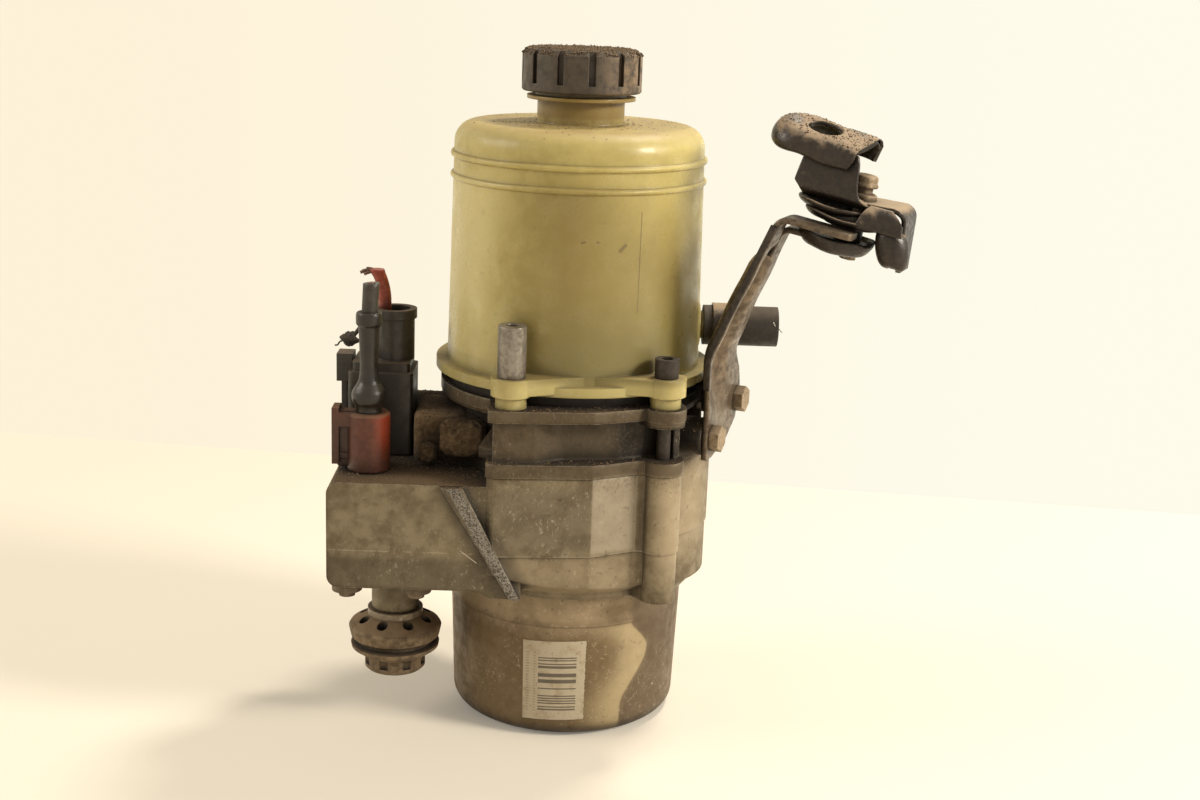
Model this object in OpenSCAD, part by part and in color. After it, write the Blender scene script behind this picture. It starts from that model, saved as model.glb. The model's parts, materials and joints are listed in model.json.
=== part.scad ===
// Electric power steering pump: a motor with its controller box, a gear pump and a fluid reservoir.
// Millimetres, +Z up. The origin is the centre of the motor can's flat base.
// The front of the unit, with its sticker and diagonal rib, faces -Y.

/* [Stack] */
// Height of the motor can below the main casting
can_h = 66; // [62:1:74]
// Height of the main casting above the can
housing_h = 56; // [55:1:66]
// Height of the pump casting
casting_h = 28; // [28:1:36]
// Height of the reservoir lugs' feet below the reservoir flange
flange_lift = 4.7; // [4:0.1:7]
// Height of the reservoir from its flange to the flat of the shoulder
tank_h = 105.8; // [90:0.2:130]

/* [Motor] */
// Radius of the motor can at its top
can_r = 52; // [51.6:0.1:53]
// How much narrower the can is at its base
can_draft = 2; // [0.5:0.1:2.4]
// Rounding of the can's base edge
base_fillet = 7; // [3:0.5:9]
// Outer radius of the stator
stator_r = 46; // [44:0.25:46.5]
// Length of the stator
stator_len = 42; // [34:1:44]
// Radius of the rotor over its magnets
rotor_r = 27.5; // [25:0.25:27.8]
// Gap between rotor and stator
air_gap = 1; // [0.5:0.1:1.5]
// Radius of the motor shaft's ends
shaft_r = 6; // [5.5:0.1:6.2]

/* [Main casting] */
// Radius of the casting's round body
round_r = 54; // [53.6:0.2:55]
// How far the front ridge stands inside the circle of long screws
ridge_inset = 0.2; // [-0.5:0.1:1]
// Radius of the lobe on the right
lobe_r = 41.5; // [38:0.5:43]
// Distance of the long screws outside the reservoir's wall
bolt_gap = 8.5; // [8.4:0.1:9]
// Radius of the screw bosses
boss_r = 7.6; // [7:0.1:8.2]
// Width of the diagonal rib
rib_w = 7; // [4:0.5:9]

/* [Controller box] */
// Distance of the box's left wall from the axis
box_left = 99; // [98:0.5:108]
// Distance of the box's front wall from the axis
box_front = 64.5; // [63:0.5:65]
// Distance of the box's back wall from the axis
box_back = 12; // [11:0.5:20]
// Height of the box
box_h = 45.5; // [45:0.5:48]
// Wall of the box
box_wall = 3.5; // [2.5:0.1:4]

/* [Reservoir] */
// Radius of the reservoir above its flange
tank_r = 55; // [54.6:0.1:56]
// How much narrower the reservoir is at its shoulder
tank_draft = 1.8; // [0.6:0.1:2.4]
// Wall of the reservoir
tank_wall = 2.5; // [1.8:0.1:3]
// How far the bottom flange stands out from the reservoir's wall
flange_lip = 4.7; // [3.5:0.1:6]
// Thickness of the bottom flange
flange_t = 4; // [3:0.2:5]
// Rounding of the shoulder
shoulder_r = 9; // [6:0.5:12]
// Radius of the neck below the cap
neck_r = 18.5; // [17.5:0.1:19]
// Height of the neck's collar ring above the shoulder
collar_lift = 9.8; // [8:0.2:14]
// Radius of the neck's collar ring
collar_r = 23; // [21.5:0.25:24]

/* [Cap] */
// Radius of the screw cap
cap_r = 25.3; // [24.5:0.1:27]
// Height of the screw cap
cap_h = 18; // [17:0.5:22]
// Number of gripping slots in the cap's side
cap_slots = 12; // [8:1:16]

/* [Gear pump] */
// Teeth on each pump gear
gear_teeth = 12; // [10:1:13]
// Module of the pump gears
gear_module = 2; // [1.8:0.05:2]
// Face width of the pump gears
gear_w = 16; // [12:0.5:18]
// Pressure angle of the teeth
pressure_angle = 27; // [25:0.5:28]

/* [Ports and hose] */
// Outer radius of the return hose
hose_r = 8.8; // [8:0.1:10]
// Inner radius of the return hose
hose_bore = 6.2; // [5.5:0.1:6.6]
// Length of the return hose that is left
hose_len = 33; // [28:1:60]
// Tapping radius of the pressure port
port_r = 4.2; // [3.4:0.1:5]

/* [Isolator] */
// Outer radius of the rubber isolator
isolator_r = 20.2; // [18:0.2:22]
// Height of the rubber isolator
isolator_h = 25; // [24:0.5:28]
// Length of the post above the isolator
post_len = 22; // [21:0.5:23]

/* [Plugs] */
// Radius of the power plug
power_r = 8.9; // [8.7:0.1:10]
// Height of the power plug
power_h = 24.5; // [22:0.5:28]
// Width of the signal plug
signal_w = 27.5; // [26:0.5:30]
// Height of the signal plug
signal_h = 40; // [36:0.5:46]

/* [Bracket] */
// Direction that the bracket's foot faces, from +X towards the back
bracket_az = -24; // [-27:0.5:-21]
// Distance of the bracket's outer face from the axis
foot_u = 69.5; // [68.5:0.25:72]
// Width of the bracket's foot
foot_w = 40; // [38:0.5:44]
// Sheet of the bracket arm
arm_t = 2.6; // [2:0.1:3]
// Length of the arm's sloping part
arm_len = 57.7; // [50:0.5:66]
// Lean of the arm from upright
arm_lean = 23.7; // [16:0.5:28]
// Radius of the hole in the hood
hood_hole_r = 7; // [5:0.25:8]
// Height of the hood above the arm's upper leaf
hood_h = 36; // [34:0.5:42]
// Sheet of the hood and the clip
hood_t = 2.5; // [1.8:0.1:2.8]

/* [Hidden] */
$fn = 72;

// Levels
z_deck = can_h + housing_h;
z_pad = z_deck + casting_h;
z_seat = z_pad - 2;
z_flange = z_pad + flange_lift;
z_shoulder = z_flange + tank_h;
z_collar = z_shoulder + collar_lift;
z_cap = z_collar + 3.2;
z_lug = z_flange + 7.8;

// Fits: a running fit, a sliding fit, the gap round a screw and the gap round a loose piece
fit_run = 0.05;
fit_slip = 0.1;
fit_screw = 0.3;
fit_free = 0.3;

// Long screws, two in front and two behind
bolt_angles = [-112.8, -52.5, 67.2, 127.5];
screw_r = 2.9;
thread_r = 3;
screw_bottom = z_deck - 30;

// Motor
spigot_h = 8;
housing_bore = 44;
z_stator = can_h + 4 - stator_len;
bore_r = rotor_r + air_gap;
magnet_t = 3.5;
core_shaft_r = 8;
slot_count = 12;
tooth_w = 6;
coil_t = 3.6;
coil_over = 5;
low_seat = 5;
low_outer_r = 16;
low_w = 10;
up_inner_r = 7.5;
up_outer_r = 17.5;
up_w = 11;
z_up = z_deck - 15;
hub_r = 22;
rim_r = tank_r + 2.5;
waist_r = tank_r - 5;
waist_rib = 3;
gusset_w = 11;
seat_r = tank_r + 0.2;

// Reservoir
bolt_r = tank_r + bolt_gap;
ridge_y = bolt_r - ridge_inset;
flange_r = tank_r + flange_lip;
strainer_gap = 3.9;
strainer_r = tank_r - tank_wall - strainer_gap;
strainer_h = 30;
seal_gap = 0.5;

// Gear pump
pitch_r = gear_module * gear_teeth / 2;
tip_r = pitch_r + 0.8 * gear_module;
root_r = pitch_r - 1.05 * gear_module;
axis_gap = 2 * pitch_r;
pocket_r = tip_r + fit_slip;
block_r = 23.5;
journal_r = 6;
z_gear = z_seat + 6;
z_cover = z_gear + gear_w + fit_slip;
cover_t = 9;
gear_bolt = 13.5;
z_couple = z_seat - 16;
couple_h = 15;
chamber_r = 14;
seal_r = 13;
seal_w = 7;
z_seal = z_deck + 2;

// Pressure gallery and relief valve
gallery_y = 10;
gallery_z = z_deck + 8.6;
port_x = -69;
valve_x = -16;
valve_r = 5;
valve_seat_y = 18;
valve_spring_y = 26;
valve_plug_y = 37;
valve_end_y = 56;

// Controller box
z_box = can_h + 6;
z_roof = z_box + box_h;
pillar_x = -74.4;
pillar_y = -27;
pillar_r = 10.3;
board_z = z_box + 27;
board_t = 1.6;
board_posts = [[-91, -30], [-59.6, -30], [-75, -57], [-75, 4]];
board_caps = [[-67, -47], [-79, 3], [-87, -10]];
cover_inset = 2.5;
cover_pad = 6.3;

// Plugs
power_x = -84;
power_y = -44;
signal_x = -81.7;
signal_y = -11;
z_plug = z_roof + 0.5;
power_cable_r = 3.45;

// Isolator
z_post = z_box - post_len;
z_rubber = z_post - 3;

// Hose
hose_z = z_flange + 18;
hose_y = 10;
hose_x = tank_r + 2;
nozzle_grip = 17;
hose_step = 0.8;

// Bracket, in its own directions: u outwards, w along the foot, z up
foot_w0 = -15;
foot_z = z_deck + 3;
foot_run = 39.5;
knee_r = 20;
elbow_r = 4;
mount_tilt = 10;
leaf_run = 26;
tongue_w = 12;
knee_u = foot_u + knee_r * (1 - cos(arm_lean));
knee_z = foot_z + foot_run + knee_r * sin(arm_lean);
elbow_u = knee_u + arm_len * sin(arm_lean);
elbow_z = knee_z + arm_len * cos(arm_lean);
leaf_u = elbow_u + elbow_r * cos(arm_lean) + (elbow_r + arm_t) * sin(mount_tilt);
leaf_z = elbow_z - elbow_r * sin(arm_lean) + (elbow_r + arm_t) * cos(mount_tilt);
mount_s = 13;
mount_w = 5;
mount_bolt_s = 7;
mount_bolt_w = 0;
bracket_bolts_at = [[-8.5, 8.5], [21, 19.5]];

// Colours
alu = "#8d8679";
alu_dark = "#7a7468";
steel = "#8f8a80";
dark_steel = "#4a433b";
rubber = "#2e2a26";
tank_colour = "#c9bf82";
black = "#26241f";
copper = "#b06a35";

// Helpers
module ring(r_out, r_in, h) {
    difference() {
        cylinder(h = h, r = r_out);
        translate([0, 0, -1]) cylinder(h = h + 2, r = r_in);
    }
}

module at_bolt(a) {
    rotate([0, 0, a]) translate([bolt_r, 0, 0]) children();
}

module hex(across, h) {
    cylinder(h = h, r = across / sqrt(3), $fn = 6);
}

// A rectangle with rounded corners, x0 to x1 and y0 to y1
module rounded(x0, y0, x1, y1, r) {
    translate([x0 + r, y0]) square([x1 - x0 - 2 * r, y1 - y0]);
    translate([x0, y0 + r]) square([x1 - x0, y1 - y0 - 2 * r]);
    for (x = [x0 + r, x1 - r])
        for (y = [y0 + r, y1 - r])
            translate([x, y]) circle(r = r);
}

// A bent sheet seen from its edge: each leg is [length] or [turn, radius], turned towards its lower face
bend_steps = 9;

function turned(p, turn, r) =
    let (a = p[2] + turn)
    [p[0] + r * (sin(a) - sin(p[2])), p[1] + r * (cos(a) - cos(p[2])), a];

function run_on(p, len) = [p[0] + len * cos(p[2]), p[1] - len * sin(p[2]), p[2]];

function sheet_path(legs, p = [0, 0, 0], i = 0) =
    i == len(legs) ? [p]
    : len(legs[i]) == 1 ? concat([p], sheet_path(legs, run_on(p, legs[i][0]), i + 1))
    : concat(
        [for (k = [0:bend_steps - 1]) turned(p, legs[i][0] * k / bend_steps, legs[i][1])],
        sheet_path(legs, turned(p, legs[i][0], legs[i][1]), i + 1)
    );

module sheet(legs, t, w) {
    path = sheet_path(legs);
    lower = [for (p = path) [p[0], p[1]]];
    upper = [for (i = [len(path) - 1:-1:0]) [path[i][0] + t * sin(path[i][2]), path[i][1] + t * cos(path[i][2])]];
    rotate([90, 0, 0]) translate([0, 0, -w / 2]) linear_extrude(w) polygon(concat(lower, upper));
}

// The frame at the end of a bend
module after_bend(turn, r) {
    translate([0, 0, -r]) rotate([0, turn, 0]) translate([0, 0, r]) children();
}

module bracket_frame() {
    rotate([0, 0, bracket_az]) children();
}

// The frame on top of the arm's upper leaf: x outwards, y to the back, z up
module mount_frame() {
    bracket_frame()
        translate([leaf_u, mount_w, leaf_z])
            rotate([0, mount_tilt, 0]) translate([mount_s, 0, 0]) children();
}

module at_mount_bolt() {
    mount_frame() translate([mount_bolt_s, mount_bolt_w, 0]) children();
}

// Motor
module can_outline() {
    base_r = can_r - can_draft;
    square([base_r - base_fillet, base_fillet]);
    translate([base_r - base_fillet, base_fillet])
        intersection() {
            circle(r = base_fillet);
            translate([0, -base_fillet]) square(base_fillet);
        }
    polygon([[0, base_fillet], [base_r, base_fillet], [can_r, can_h], [0, can_h]]);
    translate([0, can_h]) square([stator_r + 3.4, spigot_h]);
}

module motor_can() {
    color(alu_dark) {
        difference() {
            rotate_extrude() can_outline();
            translate([0, 0, low_seat]) cylinder(h = can_h + spigot_h, r = stator_r);
        }
        difference() {
            translate([0, 0, low_seat - 1]) cylinder(h = low_w + 1, r = low_outer_r + 4);
            translate([0, 0, low_seat]) cylinder(h = low_w + 1, r = low_outer_r);
        }
    }
}

module stator_core() {
    color("#6d6a66") translate([0, 0, z_stator]) {
        ring(stator_r, stator_r - 6, stator_len);
        for (i = [0:slot_count - 1])
            rotate([0, 0, i * 360 / slot_count]) {
                translate([bore_r + 1.5, -tooth_w / 2, 0])
                    cube([stator_r - 5 - bore_r - 1.5, tooth_w, stator_len]);
                rotate([0, 0, -11])
                    rotate_extrude(angle = 22) translate([bore_r, 0]) square([2.4, stator_len]);
            }
    }
}

module stator_coils() {
    coil_in = bore_r + 3.6;
    coil_out = stator_r - 7;
    color(copper) translate([0, 0, z_stator])
        for (i = [0:slot_count - 1])
            rotate([0, 0, i * 360 / slot_count])
                difference() {
                    translate([coil_in, -tooth_w / 2 - coil_t, -coil_over])
                        cube([coil_out - coil_in, tooth_w + 2 * coil_t, stator_len + 2 * coil_over]);
                    translate([coil_in - 1, -tooth_w / 2, 0])
                        cube([coil_out - coil_in + 2, tooth_w, stator_len]);
                }
}

module motor_shaft() {
    top = z_couple + 7.5;
    color("#b5b1a8") {
        difference() {
            translate([0, 0, low_seat + 0.4]) cylinder(h = top - low_seat - 0.4, r = shaft_r);
            translate([shaft_r - 1.5, -shaft_r, z_couple - 0.5]) cube([shaft_r, 2 * shaft_r, 20]);
        }
        translate([0, 0, low_seat + low_w]) cylinder(h = z_up + up_w - low_seat - low_w, r = up_inner_r);
        translate([0, 0, z_stator - 2]) cylinder(h = z_up - z_stator + 2, r = core_shaft_r);
    }
}

module rotor_core() {
    color("#5f5c58") translate([0, 0, z_stator - 1])
        ring(rotor_r - magnet_t, core_shaft_r, stator_len + 2);
}

module rotor_magnets() {
    color("#3d3c3c") translate([0, 0, z_stator])
        for (i = [0:7])
            rotate([0, 0, i * 45])
                rotate_extrude(angle = 40) translate([rotor_r - magnet_t, 0]) square([magnet_t, stator_len]);
}

// Ball bearings: races with a groove, and a set of balls in their cage
module race(r_out, r_in, w, ball_at, ball_r) {
    difference() {
        ring(r_out, r_in, w);
        translate([0, 0, w / 2])
            rotate_extrude() translate([ball_at, 0]) circle(r = ball_r + fit_slip);
    }
}

module balls(ball_at, ball_r, count, w) {
    translate([0, 0, w / 2]) {
        for (i = [0:count - 1])
            rotate([0, 0, i * 360 / count]) translate([ball_at, 0, 0]) sphere(r = ball_r);
        translate([0, 0, -1]) ring(ball_at + 0.8, ball_at - 0.8, 2);
    }
}

low_ball_at = (low_outer_r + shaft_r) / 2;
low_ball_r = 3;
up_ball_at = (up_outer_r + up_inner_r) / 2;
up_ball_r = 3;

module lower_outer_ring() {
    color("#c4c1ba") translate([0, 0, low_seat])
        race(low_outer_r, low_ball_at + 1.6, low_w, low_ball_at, low_ball_r);
}

module lower_inner_ring() {
    color("#c4c1ba") translate([0, 0, low_seat])
        race(low_ball_at - 1.6, shaft_r, low_w, low_ball_at, low_ball_r);
}

module lower_balls() {
    color("#dcdad4") translate([0, 0, low_seat]) balls(low_ball_at, low_ball_r, 9, low_w);
}

module upper_outer_ring() {
    color("#c4c1ba") translate([0, 0, z_up])
        race(up_outer_r, up_ball_at + 1.6, up_w, up_ball_at, up_ball_r);
}

module upper_inner_ring() {
    color("#c4c1ba") translate([0, 0, z_up])
        race(up_ball_at - 1.6, up_inner_r, up_w, up_ball_at, up_ball_r);
}

module upper_balls() {
    color("#dcdad4") translate([0, 0, z_up]) balls(up_ball_at, up_ball_r, 10, up_w);
}

// Main casting
face_left = -33;
ridge_x = 9.6;
face_right = 27.5;
lobe_x = 20;
parting = 22;
rib_top_x = -52;
rib_foot_x = -23;

// The prism of the front wall; the left screw runs inside it
module front_plan(grow) {
    polygon([
        [face_left - grow, -20],
        [face_left - grow, -ridge_y - 0.7 - grow],
        [face_left + 2.5, -ridge_y - 3 - grow],
        [ridge_x, -ridge_y - grow],
        [face_right + grow, -ridge_y + 9.7 - grow],
        [bolt_r * cos(bolt_angles[1]), bolt_r * sin(bolt_angles[1]) - 4 - grow],
        [face_right + 10, -30]
    ]);
}

module boss_plan(a, grow) {
    rotate(a) {
        translate([bolt_r, 0]) circle(r = boss_r + grow);
        translate([40, -boss_r - grow + 0.4]) square([bolt_r - 40, 2 * (boss_r + grow) - 0.8]);
    }
}

module housing_plan(grow) {
    circle(r = round_r + grow);
    translate([lobe_x, 0]) circle(r = lobe_r + grow);
    front_plan(grow);
    for (i = [1, 2, 3]) boss_plan(bolt_angles[i], grow);
}

module box_outline(inset) {
    rounded(-box_left + inset, z_box + inset, face_left + 6, z_roof - inset, 5 - inset);
}

module box_solid() {
    rotate([90, 0, 0])
        translate([0, 0, -box_back]) linear_extrude(box_front + box_back) box_outline(0);
}

module box_cavity() {
    x0 = -box_left + box_wall;
    translate([x0, -box_front + box_wall, z_box - 1])
        cube([box_left - box_wall - 56, box_front + box_back - 2 * box_wall, box_h + 1 - box_wall]);
}

module cover_points() {
    for (x = [-box_left + 7.5, -62.5])
        for (y = [-box_front + 8, box_back - 8])
            translate([x, y, 0]) children();
}

// Rib from the box's top to the foot of the left screw, wide above and narrow below
module diagonal_rib() {
    rotate([90, 0, 0])
        translate([0, 0, ridge_y - 1.8])
            linear_extrude(5.4)
                polygon([
                    [rib_top_x, z_roof - 0.5],
                    [rib_top_x + rib_w + 2, z_roof - 0.5],
                    [rib_foot_x + rib_w - 3, can_h + 3.5],
                    [rib_foot_x, can_h + 3.5]
                ]);
}

// Block between the box, the front wall and the foot of the left screw
module rib_web() {
    rotate([90, 0, 0])
        translate([0, 0, 30])
            linear_extrude(box_front - 30)
                polygon([
                    [rib_top_x + 8, z_roof - 4],
                    [rib_foot_x + 3, z_roof - 4],
                    [rib_foot_x + 4.5, can_h + 3],
                    [rib_foot_x - 8, can_h + 3],
                    [rib_foot_x - 22, z_box + 4]
                ]);
}

// Lower half, drawn in to the round skirt between the rib's foot and the right boss
module lower_housing() {
    translate([0, 0, can_h]) linear_extrude(parting) {
        circle(r = round_r);
        translate([lobe_x, 0]) circle(r = lobe_r);
        for (i = [1, 2, 3]) boss_plan(bolt_angles[i], 0);
    }
    intersection() {
        translate([0, 0, can_h]) linear_extrude(parting) front_plan(0);
        translate([0, 0, can_h]) cylinder(h = parting + 1, r1 = round_r - 3, r2 = round_r + 33);
    }
    translate([0, 0, can_h]) cylinder(h = 4, r = round_r + 1);
    translate([lobe_x, 0, can_h - 9]) cylinder(h = 11, r1 = lobe_r - 9, r2 = lobe_r);
}

module main_housing() {
    color(alu) difference() {
        union() {
            lower_housing();
            translate([0, 0, can_h + parting]) linear_extrude(housing_h - parting) housing_plan(0.6);
            difference() {
                box_solid();
                box_cavity();
            }
            diagonal_rib();
            rib_web();
            translate([pillar_x, pillar_y, z_post]) cylinder(h = z_roof - z_post - 1, r = pillar_r);
            cover_points() translate([0, 0, z_box + cover_inset]) cylinder(h = box_h - 4, r = 4.2);
            for (p = board_posts)
                translate([p[0], p[1], board_z + board_t])
                    cylinder(h = z_roof - board_z - board_t - 1, r = 3);
        }
        translate([0, 0, can_h + 2]) cylinder(h = housing_h, r = housing_bore);
        translate([0, 0, can_h - 0.5]) cylinder(h = spigot_h + 1, r = stator_r + 3.4);
        translate([0, 0, -1]) cylinder(h = can_h + 1, r = can_r + fit_slip);
        translate([-60, -17.5, board_z - 12]) cube([30, 18, 10]);
        for (a = bolt_angles)
            at_bolt(a) translate([0, 0, screw_bottom]) cylinder(h = 60, r = thread_r);
        translate([power_x, power_y, z_roof - 8]) cylinder(h = 12, r = 6);
        translate([signal_x - 9, signal_y - 7, z_roof - 8]) cube([18, 14, 12]);
        translate([pillar_x, pillar_y, z_post - 1]) cylinder(h = 19, r = 4);
        cover_points() cylinder(h = z_box + 14, r = 1.7);
    }
}

module box_cover() {
    color(alu_dark) difference() {
        union() {
            translate([-box_left + box_wall + fit_slip, -box_front + box_wall + fit_slip, z_box])
                cube([
                    box_left - box_wall - 56 - 2 * fit_slip,
                    box_front + box_back - 2 * box_wall - 2 * fit_slip,
                    cover_inset
                ]);
            cover_points() translate([0, 0, z_box - 3.5]) cylinder(h = 3.5, r = cover_pad);
        }
        translate([pillar_x, pillar_y, z_box - 5]) cylinder(h = 12, r = pillar_r + fit_free);
        cover_points() translate([0, 0, z_box - 6]) cylinder(h = 14, r = 2);
    }
}

module cover_screws() {
    color(steel) cover_points() {
        translate([0, 0, z_box - 6]) cylinder(h = 2.5, r = 3.4);
        translate([0, 0, z_box - 4]) cylinder(h = 15, r = 1.6);
    }
}

module circuit_board() {
    x0 = -box_left + box_wall + 2;
    color("#2f5a3a") difference() {
        translate([x0, -box_front + box_wall + 2, board_z])
            cube([box_left - box_wall - 60, box_front + box_back - 2 * box_wall - 4, board_t]);
        translate([pillar_x, pillar_y, board_z - 1]) cylinder(h = 5, r = pillar_r + 1);
        cover_points() translate([0, 0, board_z - 1]) cylinder(h = 5, r = 5);
    }
}

module capacitors() {
    color("#3b4a63")
        for (p = board_caps)
            translate([p[0], p[1], board_z - 18]) cylinder(h = 18, r = 5);
}

module power_transistors() {
    color("#232323")
        for (x = [-74, -66])
            for (y = [-52, -15.6, -7.6])
                translate([x, y, board_z + board_t]) cube([7, 7, 3]);
}

module phase_busbars() {
    color(copper)
        for (y = [-14, -8, -2])
            translate([0, y, 0]) {
                translate([-66, -1.5, board_z - 6]) cube([30, 3, 2]);
                translate([-66, -1.5, board_z - 6]) cube([2, 3, 6]);
            }
}

// Isolator
module isolator_stud() {
    color(steel) translate([pillar_x, pillar_y, z_rubber - isolator_h + 1])
        cylinder(h = isolator_h + 18, r = 3.9);
}

module isolator_washer() {
    color(alu) translate([pillar_x, pillar_y, z_rubber]) ring(12, 4.1, 3);
}

module isolator_bush() {
    color(rubber) translate([pillar_x, pillar_y, z_rubber]) difference() {
        rotate_extrude()
            polygon([
                [3.9, 0], [12, 0], [isolator_r - 0.8, -4.2], [isolator_r, -5.5], [isolator_r - 0.9, -9.6],
                [isolator_r - 3.6, -10.8], [isolator_r - 3.6, -12.4], [isolator_r - 0.9, -13.2],
                [isolator_r - 1.2, -14.8], [13.6, -18.6], [13.2, -19.4], [13.2, -isolator_h + 1],
                [12.2, -isolator_h], [3.9, -isolator_h]
            ]);
        for (i = [0:7])
            rotate([0, 0, i * 45 + 28.7]) {
                translate([14.3, 0, -8]) cylinder(h = 10, r = 2.3);
                translate([14.3, 0, -22.4]) cylinder(h = 4.6, r = 2.3);
            }
    }
}

// Pump casting
module waist_plan() {
    circle(r = waist_r);
    polygon([
        [-31.5, -30], [-31.5, -ridge_y], [-14, -ridge_y], [-3, -ridge_y + 6], [20, -ridge_y + 9.5],
        [30, -ridge_y + 14], [45, -40], [45, -20]
    ]);
    rotate(bolt_angles[1]) translate([40, boss_r - waist_rib - 0.6]) square([bolt_r - 38, waist_rib]);
    for (i = [2, 3])
        rotate(bolt_angles[i]) {
            translate([bolt_r, 0]) circle(r = boss_r - 1.2);
            translate([40, -4]) square([bolt_r - 40, 8]);
        }
}

// Sloping gusset between the deck and the waist on the left
module gusset(a) {
    rotate([0, 0, a]) translate([0, gusset_w / 2, z_deck + 4]) rotate([90, 0, 0])
        linear_extrude(gusset_w)
            polygon([
                [40, 0], [bolt_r - 1, 0], [bolt_r - 1, 4.5], [waist_r - 2, casting_h - 14],
                [40, casting_h - 14]
            ]);
}

module upper_plan() {
    circle(r = rim_r);
    polygon([
        [-33.5, -40], [-33.5, -ridge_y - 2], [-30, -ridge_y - 3.5], [ridge_x, -ridge_y - 0.4],
        [face_right, -ridge_y + 7], [46, -44], [46, -30]
    ]);
    for (i = [1, 2, 3]) boss_plan(bolt_angles[i], 1.4);
}

module bracket_boss(p) {
    bracket_frame()
        translate([30, p[0], foot_z + p[1]])
            rotate([0, 90, 0]) cylinder(h = foot_u - arm_t - 30, r = 8);
}

module bracket_hole(p) {
    bracket_frame()
        translate([foot_u - 24, p[0], foot_z + p[1]]) rotate([0, 90, 0]) cylinder(h = 30, r = thread_r);
}

module pump_casting() {
    color(alu) difference() {
        union() {
            translate([0, 0, z_deck]) linear_extrude(5.8) housing_plan(1.2);
            translate([0, 0, z_deck]) linear_extrude(casting_h - 4) waist_plan();
            translate([0, 0, z_pad - 5]) linear_extrude(5) upper_plan();
            for (i = [1, 2, 3])
                translate([0, 0, z_pad - 7.5]) linear_extrude(7) boss_plan(bolt_angles[i], 1);
            translate([0, 0, z_pad - 6.5]) cylinder(h = 4, r = rim_r - 0.4);
            translate([0, 0, z_up - 1]) cylinder(h = 20, r = hub_r);
            translate([0, 0, z_deck - 4]) ring(housing_bore - fit_slip, housing_bore - 6, 6);
            translate([port_x, gallery_y, gallery_z])
                rotate([0, 90, 0]) cylinder(h = 40, r = port_r + 3.4);
            translate([valve_x, 20, gallery_z]) rotate([-90, 0, 0]) cylinder(h = valve_end_y - 20, r = 8);
            for (p = bracket_bolts_at) bracket_boss(p);
            for (a = [186, 238]) gusset(a);
            gusset(214);
        }
        translate([0, 0, z_seat]) cylinder(h = 10, r = seat_r);
        translate([0, 0, z_up - 2]) cylinder(h = up_w + 2, r = up_outer_r);
        translate([0, 0, z_up]) cylinder(h = 40, r = 10);
        translate([0, 0, z_seal]) cylinder(h = 40, r = seal_r);
        translate([0, 0, z_couple - 3]) cylinder(h = 40, r = chamber_r);
        for (a = bolt_angles)
            at_bolt(a) translate([0, 0, z_deck - 1]) cylinder(h = casting_h + 2, r = screw_r + fit_screw);
        for (p = bracket_bolts_at) bracket_hole(p);
        for (x = [-gear_bolt, gear_bolt])
            for (y = [-gear_bolt, axis_gap + gear_bolt])
                translate([x, y, z_seat - 12]) cylinder(h = 20, r = 2.5);
        translate([port_x - 1, gallery_y, gallery_z]) rotate([0, 90, 0]) cylinder(h = 13, r = port_r);
        translate([port_x, gallery_y, gallery_z]) rotate([0, 90, 0]) cylinder(h = -port_x - 13, r = 3);
        translate([-22, gallery_y, gallery_z - 2]) cylinder(h = 40, r = 3);
        translate([valve_x, gallery_y, gallery_z]) rotate([-90, 0, 0]) cylinder(h = 20, r = 2.5);
        translate([valve_x, valve_seat_y, gallery_z])
            rotate([-90, 0, 0]) cylinder(h = valve_end_y - valve_seat_y + 1, r = valve_r);
    }
}

module shaft_seal() {
    color(rubber) translate([0, 0, z_seal]) ring(seal_r, shaft_r + fit_run, seal_w);
}

module shaft_coupling() {
    color("#a9a59c") translate([0, 0, z_couple]) difference() {
        cylinder(h = couple_h, r = 10);
        translate([0, 0, -1]) difference() {
            cylinder(h = couple_h + 2, r = max(shaft_r, journal_r));
            translate([shaft_r - 1.5, -shaft_r, 0]) cube([shaft_r, 2 * shaft_r, 8.5]);
        }
    }
}

// Relief valve
module relief_poppet() {
    color("#b9b4a8") translate([valve_x, valve_seat_y + 0.3, gallery_z]) rotate([-90, 0, 0]) {
        cylinder(h = 2.2, r1 = 2, r2 = valve_r - fit_run);
        translate([0, 0, 2.2]) cylinder(h = valve_spring_y - valve_seat_y - 2.5, r = valve_r - fit_run);
    }
}

coil_turns = 6;
coil_steps = 18;
wire_r = 0.6;
wire_sides = 8;

function coil_ring(i, r, len) =
    let (a = i * 360 / coil_steps, y = len * i / (coil_turns * coil_steps))
    [for (k = [0:wire_sides - 1])
        let (b = k * 360 / wire_sides, rr = r + wire_r * cos(b))
        [rr * cos(a), rr * sin(a), y + wire_r * sin(b)]];

module coil_spring(r, len) {
    n = coil_turns * coil_steps;
    points = [for (i = [0:n]) for (p = coil_ring(i, r, len)) p];
    sides = [for (i = [0:n - 1]) for (k = [0:wire_sides - 1])
        let (a = i * wire_sides + k, b = i * wire_sides + (k + 1) % wire_sides)
        for (f = [[a, a + wire_sides, b], [b, a + wire_sides, b + wire_sides]]) f];
    first = [for (k = [0:wire_sides - 1]) k];
    last = [for (k = [wire_sides - 1:-1:0]) n * wire_sides + k];
    polyhedron(points, concat(sides, [first, last]));
}

module relief_spring() {
    gap = valve_plug_y - valve_spring_y;
    color("#8a8880") translate([valve_x, valve_spring_y + wire_r + 0.1, gallery_z])
        rotate([-90, 0, 0]) coil_spring(3.4, gap - 2 * wire_r - 0.2);
}

module relief_plug() {
    color(steel) translate([valve_x, valve_plug_y, gallery_z]) rotate([-90, 0, 0]) {
        cylinder(h = valve_end_y - valve_plug_y, r = valve_r);
        translate([0, 0, valve_end_y - valve_plug_y]) hex(12, 6);
    }
}

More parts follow.
